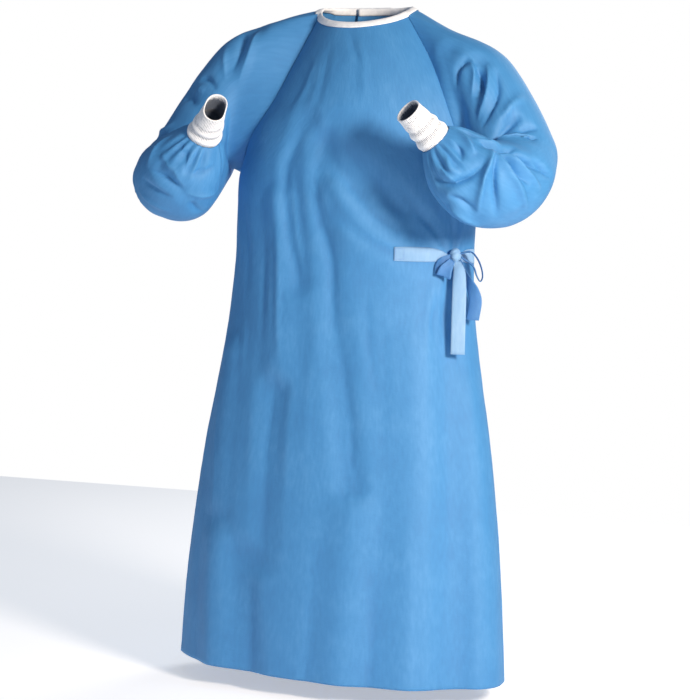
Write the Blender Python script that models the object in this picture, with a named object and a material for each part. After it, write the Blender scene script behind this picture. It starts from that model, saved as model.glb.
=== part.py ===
"""A wrap-around surgical gown, worn and filled out with nobody in it.

The cloth is one shell of rings and rows, cut into the panels that a maker sews:
a front, two backs that overlap, two raglan sleeves, a neck binding, two knitted cuffs
and the waist tie. +Z is up, the front faces -Y and the wearer's left is +X. The origin
lies between the two sides of the neck, where the shoulders carry the gown.
"""

import math
from collections import namedtuple

import bmesh
import bpy
import numpy as np
from mathutils import Vector
from mathutils.bvhtree import BVHTree

# Driving sizes, in metres
WALL = 0.0015
SEAM_PULL = 0.0002
HEM_HEIGHT = -1.204
HEM_TILT = 0.005
UNDERARM_HEIGHT = -0.305
BACK_LAYER_GAP = 0.0045
NECK_LAYER_GAP = 0.0065
# Turns the wearer's left into the right
MIRROR = np.array((-1.0, 1.0, 1.0))

# How finely the cloth is divided
SKIRT_ROWS = 15
YOKE_ROWS = 16
FRONT_COLUMNS = 28
BACK_COLUMNS = 24
RIGHT_BACK_COLUMNS = 15
LEFT_BACK_COLUMNS = 10
NECK_STEPS = 4
SLEEVE_RINGS = 23

Section = namedtuple("Section", "height half_width front_depth back_depth forward")
BODY_SECTIONS = (
    Section(-1.205, 0.311, 0.172, 0.164, 0.052),
    Section(-1.050, 0.301, 0.166, 0.157, 0.052),
    Section(-0.900, 0.286, 0.158, 0.148, 0.050),
    Section(-0.780, 0.270, 0.150, 0.138, 0.048),
    Section(-0.660, 0.249, 0.140, 0.128, 0.046),
    Section(-0.550, 0.233, 0.130, 0.119, 0.044),
    Section(-0.460, 0.227, 0.123, 0.113, 0.041),
    Section(-0.380, 0.228, 0.119, 0.109, 0.038),
    Section(UNDERARM_HEIGHT, 0.226, 0.117, 0.106, 0.035),
)

# The raglan seams from underarm to neck, and the middle of the panel at the same level
Raglan = namedtuple("Raglan", "rise lateral shift forward height edge_angle middle_forward middle_height")
FRONT_RAGLAN = (
    Raglan(0.25, 0.200, 0.006, 0.078, -0.243, 22, 0.151, -0.242),
    Raglan(0.50, 0.164, 0.018, 0.086, -0.176, 34, 0.147, -0.180),
    Raglan(0.75, 0.128, 0.014, 0.060, -0.098, 34, 0.122, -0.109),
)
BACK_RAGLAN = (
    Raglan(0.25, 0.200, 0.004, -0.028, -0.243, 22, -0.078, -0.244),
    Raglan(0.50, 0.165, 0.008, -0.054, -0.178, 34, -0.088, -0.180),
    Raglan(0.75, 0.122, 0.006, -0.062, -0.096, 34, -0.086, -0.097),
)

# The neck edge, an oval that dips in front. The angles are those of the raglan seams on it,
# from its side.
NECK_HALF_WIDTH = 0.086
NECK_FRONT = 0.078
NECK_BACK = 0.058
NECK_DIP = 0.036
NECK_RISE = 0.006
FRONT_SEAM_ANGLE = 18
BACK_SEAM_ANGLE = 33

# The sleeve's rings near the shoulder, for the wearer's left arm.
# Heading turns a ring's axis forward and pitch tips it up, both in degrees.
Ring = namedtuple("Ring", "along lateral forward height heading pitch half_top half_front")
SHOULDER_RINGS = (
    Ring(0.13, 0.202, 0.022, -0.170, 2, 18, 0.148, 0.072),
    Ring(0.27, 0.256, 0.037, -0.202, 18, -6, 0.122, 0.076),
)

# The elbow: the rings turn about the crook of the arm. Turn is in degrees from the upper
# arm, slide runs along the arm, reach leads from the crook to the ring's middle and aside
# leads inwards, along the bend's own axis.
Bend = namedtuple("Bend", "along turn slide reach half_reach half_wide aside")
ELBOW_RINGS = (
    Bend(0.41, 0, 0.014, 0.084, 0.072, 0.078, 0.018),
    Bend(0.50, 20, 0.013, 0.084, 0.071, 0.080, 0.024),
    Bend(0.59, 42, 0.011, 0.084, 0.071, 0.081, 0.031),
    Bend(0.67, 64, 0.009, 0.084, 0.072, 0.081, 0.039),
    Bend(0.75, 88, 0.009, 0.083, 0.072, 0.080, 0.047),
    Bend(0.83, 110, 0.013, 0.081, 0.067, 0.072, 0.053),
    Bend(0.92, 120, 0.034, 0.074, 0.057, 0.060, 0.057),
    Bend(0.97, 123, 0.058, 0.068, 0.042, 0.042, 0.058),
    Bend(1.00, 123, 0.072, 0.065, 0.0305, 0.0305, 0.059),
)
# Where each arm's crook lies, how its two halves point, how far its shoulder is moved and
# how much lower the shoulder's rings are
Arm = namedtuple("Arm", "lateral forward height upper_heading upper_pitch fore_heading fore_pitch"
                        " shoulder_out shoulder_up shoulder_less")
LEFT_ARM = Arm(0.283, 0.141, -0.234, 43, -49, 144, 44, 0.004, 0.004, 0.018)
RIGHT_ARM = Arm(0.292, 0.141, -0.234, 43, -49, 139, 44, 0.006, 0.010, 0.004)


# The largest folds. Each runs between two places on its piece: across is a share of the way
# round, up is the height on a panel and the share along a sleeve. Lift is outwards.
Fold = namedtuple("Fold", "across up across_end up_end width lift lift_end")
FRONT_FOLDS = (
    Fold(0.340, -0.360, 0.385, -0.660, 0.045, 0.007, 0.005),
    Fold(0.345, -0.200, 0.420, -0.500, 0.040, -0.006, -0.006),
    Fold(0.450, -0.250, 0.520, -0.560, 0.042, -0.006, -0.006),
    Fold(0.530, -0.600, 0.575, -0.860, 0.042, -0.006, -0.007),
    Fold(0.455, -0.250, 0.720, -0.405, 0.050, -0.008, -0.005),
    Fold(0.500, -0.345, 0.790, -0.450, 0.045, 0.007, 0.004),
    Fold(0.378, -0.700, 0.390, -1.000, 0.050, -0.008, -0.006),
    Fold(0.190, -0.640, 0.235, -0.900, 0.050, 0.007, 0.005),
    Fold(0.255, -0.980, 0.280, -1.204, 0.055, 0.009, 0.010),
    Fold(0.340, -1.000, 0.375, -1.204, 0.055, -0.008, -0.009),
    Fold(0.580, -0.900, 0.560, -1.204, 0.060, 0.007, 0.010),
    Fold(0.735, -0.620, 0.690, -1.204, 0.065, 0.006, 0.011),
    Fold(0.830, -0.560, 0.800, -1.204, 0.060, -0.006, -0.010),
    Fold(0.915, -0.700, 0.900, -1.204, 0.060, 0.006, 0.010),
)
BACK_FOLDS = (
    Fold(0.250, -0.500, 0.230, -1.204, 0.070, 0.008, 0.012),
    Fold(0.420, -0.600, 0.400, -1.204, 0.060, -0.007, -0.011),
    Fold(0.560, -0.480, 0.600, -1.204, 0.070, 0.008, 0.011),
    Fold(0.740, -0.560, 0.770, -1.204, 0.060, -0.006, -0.010),
    Fold(0.880, -0.500, 0.900, -1.204, 0.060, 0.006, 0.009),
    Fold(0.340, -0.160, 0.620, -0.420, 0.050, -0.007, -0.004),
)
RIGHT_SLEEVE_FOLDS = (
    Fold(0.005, 0.180, 0.110, 0.230, 0.036, -0.006, -0.004),
    Fold(0.000, 0.340, 0.100, 0.330, 0.036, -0.005, -0.004),
    Fold(0.680, 0.900, 0.530, 0.855, 0.030, -0.006, -0.004),
    Fold(0.740, 0.600, 0.650, 0.720, 0.036, 0.005, 0.004),
    Fold(0.560, 0.450, 0.720, 0.420, 0.034, -0.005, -0.003),
    Fold(0.300, 0.300, 0.200, 0.480, 0.034, -0.005, -0.004),
)
LEFT_SLEEVE_FOLDS = (
    Fold(0.090, 0.130, 0.230, 0.130, 0.036, -0.007, -0.004),
    Fold(0.060, 0.250, 0.160, 0.310, 0.036, -0.007, -0.005),
    Fold(0.050, 0.380, 0.000, 0.430, 0.034, -0.007, -0.004),
    Fold(0.820, 0.860, 0.700, 0.740, 0.032, 0.006, 0.005),
    Fold(0.850, 0.720, 0.800, 0.650, 0.034, -0.006, -0.004),
    Fold(0.630, 0.900, 0.560, 0.800, 0.030, 0.005, 0.004),
    Fold(0.560, 0.450, 0.720, 0.420, 0.034, -0.005, -0.003),
    Fold(0.300, 0.300, 0.200, 0.480, 0.034, -0.005, -0.004),
)

# The knitted cuffs, outwards from the sleeve
Cuff = namedtuple("Cuff", "along radius wall")
CUFF_ROWS = (
    Cuff(0.000, 0.0306, 0.0020),
    Cuff(0.008, 0.0320, 0.0020),
    Cuff(0.018, 0.0306, 0.0020),
    Cuff(0.028, 0.0308, 0.0020),
    Cuff(0.038, 0.0292, 0.0020),
    Cuff(0.050, 0.0292, 0.0020),
    Cuff(0.064, 0.0280, 0.0020),
    Cuff(0.070, 0.0284, 0.0024),
    Cuff(0.073, 0.0274, 0.0012),
)
CUFF_POINTS = 24
CUFF_GAP = 0.0003
CUFF_GATHERS = 9
GATHER_LIFT = 0.0026

BINDING_WIDTH = 0.0115
BINDING_LEAF = 0.0008
BINDING_GAP = 0.0007
BINDING_STEPS = 44
BINDING_LEVELS = 3
# How the tape is lifted clear of the cloth: how often, where between its points, how far at most
CLEAR_PASSES = 6
CLEAR_SHARES = (0.15, 0.35, 0.5, 0.65, 0.85)
MOST_CLEAR = 0.006

# The waist tie and the bow. The ties run over columns of the panels, and the last number is
# how much they are squeezed together towards the knot.
TIE_WIDTH = 0.025
TIE_THICKNESS = 0.0012
TIE_GAP = 0.0010
TIE_HEIGHT = -0.449
FRONT_TIE_SAG = 0.006
BOW_COLUMN = 23.97
BOW_TURN = math.radians(20)
KNOT_OUT = 0.0122
KNOT_SIZE = (0.0105, 0.0125, 0.0100)
KNOT_RINGS = (0.86, 0.5, 0.0, -0.5, -0.86)
KNOT_POINTS = 12
FRONT_TIE_STEPS = (("front", 18.70, 0), ("front", 19, 0), ("front", 20, 0), ("front", 21, 0),
                   ("front", 22, 0.05), ("front", 23, 0.4), ("front", 23.86, 0.5))
BACK_TIE_STEPS = (("right", 2, 0), ("right", 1, 0), ("right", 0, 0), ("left", 1, 0), ("left", 0, 0),
                  ("front", 27, 0), ("front", 26, 0.1), ("front", 25, 0.45), ("front", 24.08, 0.55))
# Each strip's path from the bow's middle, in the photograph's plane: to the right, up and
# towards the viewer, its width, and how its width turns to the viewer and tilts up
BOW_STRIPS = {
    "tie_loop_front": (
        (-0.0103, -0.003, 0.002, 0.010, 0, -60),
        (-0.020, -0.011, 0.005, 0.019, 0, -32),
        (-0.024, -0.022, 0.005, 0.025, 0, -25),
        (-0.024, -0.033, 0.007, 0.026, 0, -18),
        (-0.022, -0.039, 0.011, 0.026, 0, -18),
        (-0.020, -0.036, 0.016, 0.026, 0, -22),
        (-0.016, -0.024, 0.017, 0.022, 0, -30),
        (-0.008, -0.010, 0.015, 0.013, 0, -35),
    ),
    "tie_tail_front": (
        (0.003, -0.0132, 0.001, 0.012, 0, 0),
        (0.007, -0.028, 0.006, 0.023, 0, 0),
        (0.008, -0.060, 0.010, 0.025, 0, 0),
        (0.008, -0.110, 0.014, 0.025, 0, 0),
        (0.008, -0.174, 0.018, 0.025, 0, 0),
    ),
    "tie_loop_side": (
        (0.0102, 0.003, 0.000, 0.008, 90, 0),
        (0.027, 0.008, -0.002, 0.018, 90, 0),
        (0.040, -0.004, -0.004, 0.022, 90, 0),
        (0.048, -0.022, -0.006, 0.022, 90, 0),
        (0.050, -0.038, -0.006, 0.022, 90, 0),
        (0.045, -0.046, -0.006, 0.022, 90, 0),
        (0.038, -0.036, -0.006, 0.022, 90, 0),
        (0.030, -0.018, -0.004, 0.018, 90, 0),
        (0.0125, -0.004, -0.001, 0.008, 90, 0),
    ),
    "tie_tail_side": (
        (0.0082, -0.0086, -0.002, 0.008, 60, 0),
        (0.021, -0.034, -0.004, 0.016, 60, 0),
        (0.032, -0.056, -0.006, 0.022, 30, 0),
        (0.038, -0.080, -0.006, 0.023, 10, 0),
        (0.034, -0.114, -0.006, 0.023, 10, 0),
    ),
}

CLOSURE_ROWS = (0.62, 1.0, 1.5)
RIGHT_CLOSURE_COLUMNS = (0.03, 0.10, 0.17, 0.24)
LEFT_CLOSURE_COLUMNS = (0.50, 0.57, 0.64, 0.71)
CLOSURE_THICKNESS = 0.0016
CLOSURE_GAP = 0.0004

# name, colour, roughness
BLUE_CLOTH = ("nonwoven_fabric", (0.105, 0.270, 0.620), 0.75)
TIE_CLOTH = ("tie_fabric", (0.330, 0.520, 0.820), 0.75)
WHITE_TAPE = ("white_tape", (0.800, 0.810, 0.820), 0.80)
WHITE_KNIT = ("knitted_cuff", (0.820, 0.820, 0.810), 0.90)


def spot(lateral, forward, height):
    return np.array((lateral, -forward, height))


def unit(vector):
    return vector / np.linalg.norm(vector, axis=-1, keepdims=True)


def eased(low, high, at):
    """0 below low and 1 above high, with a smooth change between them."""
    share = np.clip((at - low) / (high - low), 0, 1)
    return share * share * (3 - 2 * share)


def smooth_through(knots, values, at):
    """The row of values at one knot, on a smooth curve through all the rows."""
    knots = np.asarray(knots, float)
    slopes = np.gradient(values, knots, axis=0)
    low = int(np.clip(np.searchsorted(knots, at) - 1, 0, len(knots) - 2))
    span = knots[low + 1] - knots[low]
    s = (at - knots[low]) / span
    start = (2 * s**3 - 3 * s**2 + 1) * values[low] + (s**3 - 2 * s**2 + s) * span * slopes[low]
    end = (3 * s**2 - 2 * s**3) * values[low + 1] + (s**3 - s**2) * span * slopes[low + 1]
    return start + end


def arc_row(lateral, shift, edge, middle, edge_angle, columns, side):
    """One level of a panel: part of an ellipse from seam to seam. side is 1 in front, -1 behind."""
    low = math.radians(edge_angle)
    angles = low + columns * (math.pi - 2 * low)
    bulge = (np.sin(angles) - math.sin(low)) / (1 - math.sin(low))
    across = shift - side * lateral * np.cos(angles) / math.cos(low)
    forward = edge[0] + (middle[0] - edge[0]) * bulge
    height = edge[1] + (middle[1] - edge[1]) * bulge
    return np.stack([across, -forward, height], axis=1)


def neck_points(angles):
    """Points of the neck edge. 0 is the wearer's left side, 90 the front and -90 the back."""
    turn = np.radians(angles)
    forward = np.where(turn > 0, NECK_FRONT, NECK_BACK) * np.sin(turn)
    height = np.where(turn > 0, -NECK_DIP * np.sin(turn), -NECK_RISE * np.sin(turn))
    return np.stack([NECK_HALF_WIDTH * np.cos(turn), -forward, height], axis=1)


def panel_keys(raglan, side, columns):
    """The levels that a panel passes through and their knots."""
    knots, rows = [], []
    for s in BODY_SECTIONS:
        depth = s.front_depth if side > 0 else -s.back_depth
        knots.append(s.height)
        rows.append(arc_row(s.half_width, 0, (s.forward, s.height), (s.forward + depth, s.height),
                            0, columns, side))
    for r in raglan:
        knots.append(UNDERARM_HEIGHT * (1 - r.rise))
        rows.append(arc_row(r.lateral, r.shift, (r.forward, r.height),
                            (r.middle_forward, r.middle_height), r.edge_angle, columns, side))
    seam = FRONT_SEAM_ANGLE if side > 0 else BACK_SEAM_ANGLE
    turn = seam + columns * (180 - 2 * seam)
    knots.append(0)
    rows.append(neck_points(180 - turn if side > 0 else -turn))
    return knots, np.array(rows)


def row_knots():
    """The knot of each row of the body's cloth, from the hem to the neck."""
    skirt = np.linspace(HEM_HEIGHT, UNDERARM_HEIGHT, SKIRT_ROWS + 1)
    yoke = np.linspace(UNDERARM_HEIGHT, 0, YOKE_ROWS + 1)
    return np.concatenate([skirt, yoke[1:]])


def panel_grid(raglan, side, columns_of_row):
    """A panel's rows of points, with the hem a little lower on the wearer's left."""
    rows = []
    for knot, columns in zip(row_knots(), columns_of_row):
        knots, keys = panel_keys(raglan, side, columns)
        rows.append(smooth_through(knots, keys, knot))
    grid = np.array(rows)
    low = 1 - eased(HEM_HEIGHT, HEM_HEIGHT + 0.5, grid[..., 2])
    grid[..., 2] -= HEM_TILT * low * grid[..., 0] / BODY_SECTIONS[0].half_width
    return grid


def flap_edge(knot):
    """Where the outer back ends, as a share of the way from the left side to the right."""
    return 0.12 + 0.20 * eased(-0.42, 0, knot)


def under_edge(knot):
    """Where the inner back ends."""
    return 0.60 + 0.12 * eased(-0.42, 0, knot)


def front_columns(knot):
    return np.linspace(0, 1, FRONT_COLUMNS + 1)


def right_back_columns(knot):
    return flap_edge(knot) + (1 - flap_edge(knot)) * np.linspace(0, 1, RIGHT_BACK_COLUMNS + 1)


def left_back_columns(knot):
    return under_edge(knot) * np.linspace(0, 1, LEFT_BACK_COLUMNS + 1)


def join_sides(edge, other):
    """Brings two edges of the cloth together along a side seam."""
    middle = (edge + other) / 2
    edge[:] = middle
    other[:] = middle


def grid_normals(grid):
    """Outward normals of an open grid of rows."""
    return unit(np.cross(np.gradient(grid, axis=1), np.gradient(grid, axis=0)))


def ring_normals(rings):
    """Outward normals of a tube's rings."""
    around = np.roll(rings, -1, axis=1) - np.roll(rings, 1, axis=1)
    return unit(np.cross(around, np.gradient(rings, axis=0)))


def step_inwards(grid):
    """Moves the inner back in, so that the outer one lies over it."""
    inward = -grid_normals(grid)
    for i, knot in enumerate(row_knots()):
        gap = BACK_LAYER_GAP + (NECK_LAYER_GAP - BACK_LAYER_GAP) * eased(-0.1, -0.02, knot)
        step = gap * eased(0.03, flap_edge(knot) * 0.95, left_back_columns(knot))
        grid[i] += inward[i] * step[:, None]
    return grid


def armhole_loop(front, back):
    """The left raglan seam as a closed ring: down the front, up the back, over the neck."""
    down_front = front[SKIRT_ROWS:, -1][::-1]
    up_back = back[SKIRT_ROWS:, 0][1:]
    over_neck = neck_points(np.linspace(-BACK_SEAM_ANGLE, FRONT_SEAM_ANGLE, NECK_STEPS + 1)[1:-1])
    return np.concatenate([down_front, up_back, over_neck])


def axis_of(heading, pitch):
    heading, pitch = math.radians(heading), math.radians(pitch)
    return spot(math.cos(pitch) * math.cos(heading), math.cos(pitch) * math.sin(heading), math.sin(pitch))


def carried(top, old_axis, new_axis):
    """The top of a ring, carried along the arm without a twist."""
    turn_axis = np.cross(old_axis, new_axis)
    sine = np.linalg.norm(turn_axis)
    return turned(top, turn_axis / sine, math.degrees(math.atan2(sine, old_axis @ new_axis)))


def turned(vector, about, degrees):
    angle = math.radians(degrees)
    along = about * (about @ vector) * (1 - math.cos(angle))
    return vector * math.cos(angle) + np.cross(about, vector) * math.sin(angle) + along


def ellipse(centre, first, half_first, second, half_second, angles):
    return (centre + np.outer(np.cos(angles), first) * half_first
            + np.outer(np.sin(angles), second) * half_second)


def sleeve_keys(loop, arm):
    """The armhole seam and the arm's rings, each with the same number of points."""
    count = len(loop)
    angles = math.pi * NECK_STEPS / count + np.arange(count) * 2 * math.pi / count
    knots, keys = [0.0], [loop]
    axis, top = unit(np.array((0.90, 0.0, 0.43))), unit(np.array((-0.43, 0.0, 0.90)))
    for ring in SHOULDER_RINGS:
        new_axis = axis_of(ring.heading, ring.pitch)
        top, axis = carried(top, axis, new_axis), new_axis
        knots.append(ring.along)
        centre = spot(ring.lateral + arm.shoulder_out, ring.forward, ring.height + arm.shoulder_up)
        half_top = ring.half_top - arm.shoulder_less
        keys.append(ellipse(centre, top, half_top, np.cross(axis, top), ring.half_front, angles))
    upper = axis_of(arm.upper_heading, arm.upper_pitch)
    fore = axis_of(arm.fore_heading, arm.fore_pitch)
    bend_axis = unit(np.cross(upper, fore))
    top = carried(top, axis, upper)
    crook = spot(arm.lateral, arm.forward, arm.height)
    inner = np.cross(bend_axis, upper)
    roll = math.atan2(top @ np.cross(upper, inner), top @ inner)
    for bend in ELBOW_RINGS:
        axis = turned(upper, bend_axis, bend.turn)
        inner = np.cross(bend_axis, axis)
        knots.append(bend.along)
        centre = crook - inner * bend.reach + axis * bend.slide + bend_axis * bend.aside
        keys.append(ellipse(centre, inner, bend.half_reach, np.cross(axis, inner), bend.half_wide,
                            angles + roll))
    return knots, np.array(keys)


def at_share(grid, across, up):
    """The point of a grid of rows at a column share and a row number, between four points."""
    column = np.clip(across * (grid.shape[1] - 1), 0, grid.shape[1] - 1.000001)
    row = np.clip(up, 0, grid.shape[0] - 1.000001)
    i, j = int(row), int(column)
    v, u = row - i, column - j
    low = grid[i, j] * (1 - u) + grid[i, j + 1] * u
    high = grid[i + 1, j] * (1 - u) + grid[i + 1, j + 1] * u
    return low * (1 - v) + high * v


def with_folds(grid, normals, guide, folds, row_of, fade):
    """Moves a grid in and out along folds that run on a guide, less where the fade is small."""
    lift = np.zeros(grid.shape[:2])
    for fold in folds:
        shares = np.linspace(0, 1, 25)
        ups = [row_of(fold.up + (fold.up_end - fold.up) * s) for s in shares]
        acrosses = fold.across + (fold.across_end - fold.across) * shares
        path = np.array([at_share(guide, a, u) for a, u in zip(acrosses, ups)])
        away = np.linalg.norm(grid[:, :, None] - path, axis=-1)
        nearest = away.argmin(axis=-1)
        reach = np.clip(away.min(axis=-1) / fold.width, 0, 1)
        taper = fold.lift + (fold.lift_end - fold.lift) * shares[nearest]
        lift += taper * (0.5 + 0.5 * np.cos(math.pi * reach))
    return grid + normals * (lift * fade)[..., None]


def share_normals(*edges):
    """Gives edges that meet the same normals, so that their walls meet cleanly."""
    mean = unit(sum(edges))
    for edge in edges:
        edge[:] = mean


def meet(front, right, left, arm_left, arm_right):
    """Shares the normals along every seam. Each argument is a grid of normals."""
    share_normals(front[:SKIRT_ROWS, -1], left[:SKIRT_ROWS, 0])
    share_normals(front[:SKIRT_ROWS, 0], right[:SKIRT_ROWS, -1])
    seams = ((arm_left, front[SKIRT_ROWS:, -1], left[SKIRT_ROWS:, 0], 1),
             (arm_right, front[SKIRT_ROWS:, 0], right[SKIRT_ROWS:, -1], MIRROR))
    for arm, fore, back, sign in seams:
        ring = arm[0] * sign
        ring[:YOKE_ROWS + 1] += fore[::-1]
        ring[YOKE_ROWS:2 * YOKE_ROWS + 1] += back
        ring = unit(ring)
        fore[:] = ring[:YOKE_ROWS + 1][::-1]
        back[:] = ring[YOKE_ROWS:2 * YOKE_ROWS + 1]
        arm[0] = ring * sign


def pulled(grid, *edges):
    """Draws the named edges of a panel back from their seams."""
    out = grid.copy()
    if "first" in edges:
        out[:, 0] += unit(grid[:, 1] - grid[:, 0]) * SEAM_PULL
    if "last" in edges:
        out[:, -1] += unit(grid[:, -2] - grid[:, -1]) * SEAM_PULL
    if "ring" in edges:
        out[0] += unit(grid[1] - grid[0]) * SEAM_PULL
    return out


def sheet_faces(outer, inner, closed):
    """Triangles of a walled sheet: the outer face, the inner face behind it and the rims.
    Each four-sided cell is cut along its shorter diagonal, so that rims that meet match."""
    rows, columns = outer.shape[:2]
    points = np.concatenate([outer.reshape(-1, 3), inner.reshape(-1, 3)])
    count = rows * columns
    faces = []
    for i in range(rows - 1):
        for j in range(columns if closed else columns - 1):
            k = (j + 1) % columns
            a, b, c, d = i * columns + j, i * columns + k, (i + 1) * columns + k, (i + 1) * columns + j
            straight = np.linalg.norm(outer[i, j] - outer[i + 1, k])
            crossed = np.linalg.norm(outer[i, k] - outer[i + 1, j])
            pair = ((a, b, c), (a, c, d)) if straight < crossed else ((a, b, d), (b, c, d))
            faces += [pair[0], pair[1]]
            faces += [tuple(count + v for v in reversed(face)) for face in pair]
    for loop in rim_loops(rows, columns, closed):
        for p, q in loop:
            falling = np.linalg.norm(points[p] - points[count + q])
            rising = np.linalg.norm(points[q] - points[count + p])
            if falling < rising:
                faces += [(p, count + p, count + q), (p, count + q, q)]
            else:
                faces += [(p, count + p, q), (q, count + p, count + q)]
    return faces


def rim_loops(rows, columns, closed):
    """The open edges of a grid, as pairs of neighbours that run with the outer face on the right."""
    last = (rows - 1) * columns
    bottom = [(j, (j + 1) % columns) for j in range(columns if closed else columns - 1)]
    top = [(last + (j + 1) % columns, last + j) for j in range(columns if closed else columns - 1)]
    if closed:
        return bottom, top
    left = [((i + 1) * columns, i * columns) for i in range(rows - 1)]
    right = [(i * columns + columns - 1, (i + 1) * columns + columns - 1) for i in range(rows - 1)]
    return bottom, top, left, right


def material(piece, cloth, colour, roughness):
    made = bpy.data.materials.new(f"{cloth}_{piece}")
    made.use_nodes = True
    shader = made.node_tree.nodes["Principled BSDF"]
    shader.inputs["Base Color"].default_value = (*colour, 1)
    shader.inputs["Roughness"].default_value = roughness
    return made


def solid(name, points, faces, stuff):
    """A closed mesh with its faces turned outwards."""
    mesh = bpy.data.meshes.new(name)
    mesh.from_pydata([tuple(p) for p in points], [], faces)
    body = bmesh.new()
    body.from_mesh(mesh)
    bmesh.ops.recalc_face_normals(body, faces=body.faces)
    body.to_mesh(mesh)
    body.free()
    made = bpy.data.objects.new(name, mesh)
    bpy.context.scene.collection.objects.link(made)
    mesh.materials.append(material(name, *stuff))
    mesh.shade_smooth()
    return made


def walled(name, outer, normals, wall, stuff, closed=False):
    inner = outer - normals * wall
    points = np.concatenate([outer.reshape(-1, 3), inner.reshape(-1, 3)])
    return solid(name, points, sheet_faces(outer, inner, closed), stuff)


def strip(name, middles, across, outward, widths, thickness, stuff):
    """A flat tape along a path. across points over its width and outward through it."""
    half = np.asarray(widths)[:, None] / 2 * across
    outer = np.stack([middles - half, middles + half], axis=1) + outward[:, None] * thickness / 2
    return walled(name, outer, np.repeat(outward[:, None], 2, axis=1), thickness, stuff)


def neck_edges(front, right, left, arm_left, arm_right):
    """The neck edge in two halves, from the outer back's free edge to the middle of the front
    and on to the inner back's free edge."""
    half = front.shape[1] // 2
    over_right = arm_right[0, 2 * YOKE_ROWS + 1:] * MIRROR
    over_left = arm_left[0, 2 * YOKE_ROWS + 1:][::-1]
    return (np.concatenate([right[-1], over_right, front[-1, :half + 1]]),
            np.concatenate([front[-1, half:], over_left, left[-1]]))


def cloth_tree(*grids):
    """The outer faces of some cloth, to find the nearest point of it."""
    points, faces = [], []
    for grid, closed in grids:
        outer = grid.reshape(-1, 3)
        near = [f for f in sheet_faces(grid, grid, closed) if max(f) < len(outer)]
        faces += [tuple(len(points) + v for v in f) for f in near]
        points += [tuple(p) for p in outer]
    return BVHTree.FromPolygons(points, faces)


def spaced(line, normals, steps):
    """Evenly spaced points along a line, with the normals and the way along it."""
    lengths = np.concatenate([[0], np.cumsum(np.linalg.norm(np.diff(line, axis=0), axis=1))])
    at = np.linspace(0, lengths[-1], steps + 1)
    points = np.stack([np.interp(at, lengths, line[:, i]) for i in range(3)], axis=1)
    facing = unit(np.stack([np.interp(at, lengths, normals[:, i]) for i in range(3)], axis=1))
    return points, facing, unit(np.gradient(points, axis=0))


def binding_rows(grids, normals, trees):
    """Steps along the neck edge, each with its places down the cloth, the ways out of it there,
    the way down and the cloth it lies on."""
    rows = []
    for half, tree in enumerate(trees):
        line = spaced(neck_edges(*grids)[half], neck_edges(*normals)[half], BINDING_STEPS // 2)
        for edge, normal, along in list(zip(*line))[half:]:
            down = unit(np.cross(along, normal))
            points, facings = [edge], [normal]
            for _ in range(BINDING_LEVELS - 1):
                below = points[-1] + down * BINDING_WIDTH / (BINDING_LEVELS - 1)
                point, outward = nearest_cloth(tree, below, normal)
                points.append(point)
                facings.append(unit(outward + normal * 0.3))
            rows.append((points, facings, down, tree))
    return rows


def profile_faces(count, around):
    """Triangles between the profiles of a folded tape and over its two ends. The slot is cut
    along the other diagonal, so that both sides of a leaf match."""
    faces = []
    for i in range(count - 1):
        for j in range(around):
            k = (j + 1) % around
            a, b, c, d = i * around + j, i * around + k, (i + 1) * around + k, (i + 1) * around + j
            faces += [(a, b, c), (a, c, d)] if j < around // 2 else [(a, b, d), (b, c, d)]
    for start in (0, (count - 1) * around):
        for j in range(around // 2 - 1):
            a, b, c, d = (start + v for v in (j, j + 1, around - 2 - j, around - 1 - j))
            faces += [(a, b, c), (a, c, d)]
    return faces


def make_binding(grids, normals):
    """A tape folded over the neck edge: a leaf outside, a leaf inside and the fold between."""
    front, right, left, arm_left, arm_right = grids
    trees = (cloth_tree((front, False), (right, False), (arm_right * MIRROR, True)),
             cloth_tree((front, False), (left, False), (arm_left, True)))
    levels, facings, downs, near = zip(*binding_rows(grids, normals, trees))
    levels, facings, downs = np.array(levels), np.array(facings), np.array(downs)
    out = cleared(levels, facings, near, BINDING_GAP)[..., None]
    within = WALL + cleared(levels - facings * WALL, -facings, near, BINDING_GAP, WALL)[..., None]
    slot_rise, fold_rise = np.zeros_like(levels), np.zeros_like(levels)
    slot_rise[:, 0] = downs * BINDING_GAP
    fold_rise[:, 0] = downs * (BINDING_GAP + BINDING_LEAF)
    outside = levels - fold_rise + facings * (out + BINDING_LEAF)
    inside = levels - fold_rise - facings * (within + BINDING_LEAF)
    slot_in = levels - slot_rise - facings * within
    slot_out = levels - slot_rise + facings * out
    profiles = np.concatenate([outside[:, ::-1], inside, slot_in[:, ::-1], slot_out], axis=1)
    return solid("neck_binding", profiles.reshape(-1, 3), profile_faces(*profiles.shape[:2]), WHITE_TAPE)


def nearest_cloth(tree, point, normal):
    """The nearest point of the cloth and its normal there, on the side that is given."""
    found = tree.find_nearest(Vector(point))
    facing = np.array(found[1])
    return np.array(found[0]), facing if facing @ normal > 0 else -facing


def cleared(points, facings, trees, least, depth=0.0):
    """How far each point of a tape is moved out, so that it also clears the cloth between them."""
    gaps = np.full(points.shape[:2], least)
    stations, levels = gaps.shape
    for _ in range(CLEAR_PASSES):
        moved = points + facings * gaps[..., None]
        raised = gaps.copy()
        for i in range(stations - 1):
            for level in range(levels):
                below = min(level + 1, levels - 1)
                ends = ((i, level, i + 1, level), (i, level, i + 1, below), (i + 1, level, i, below))
                for a, b, c, d in ends:
                    for share in CLEAR_SHARES:
                        probe = moved[a, b] * (1 - share) + moved[c, d] * share
                        facing = unit(facings[a, b] * (1 - share) + facings[c, d] * share)
                        surface, outward = nearest_cloth(trees[a], probe, facing)
                        short = least + depth - (probe - surface) @ outward
                        raised[a, b] = max(raised[a, b], gaps[a, b] + short)
                        raised[c, d] = max(raised[c, d], gaps[c, d] + short)
        gaps = np.minimum(raised, MOST_CLEAR)
    return gaps


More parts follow.
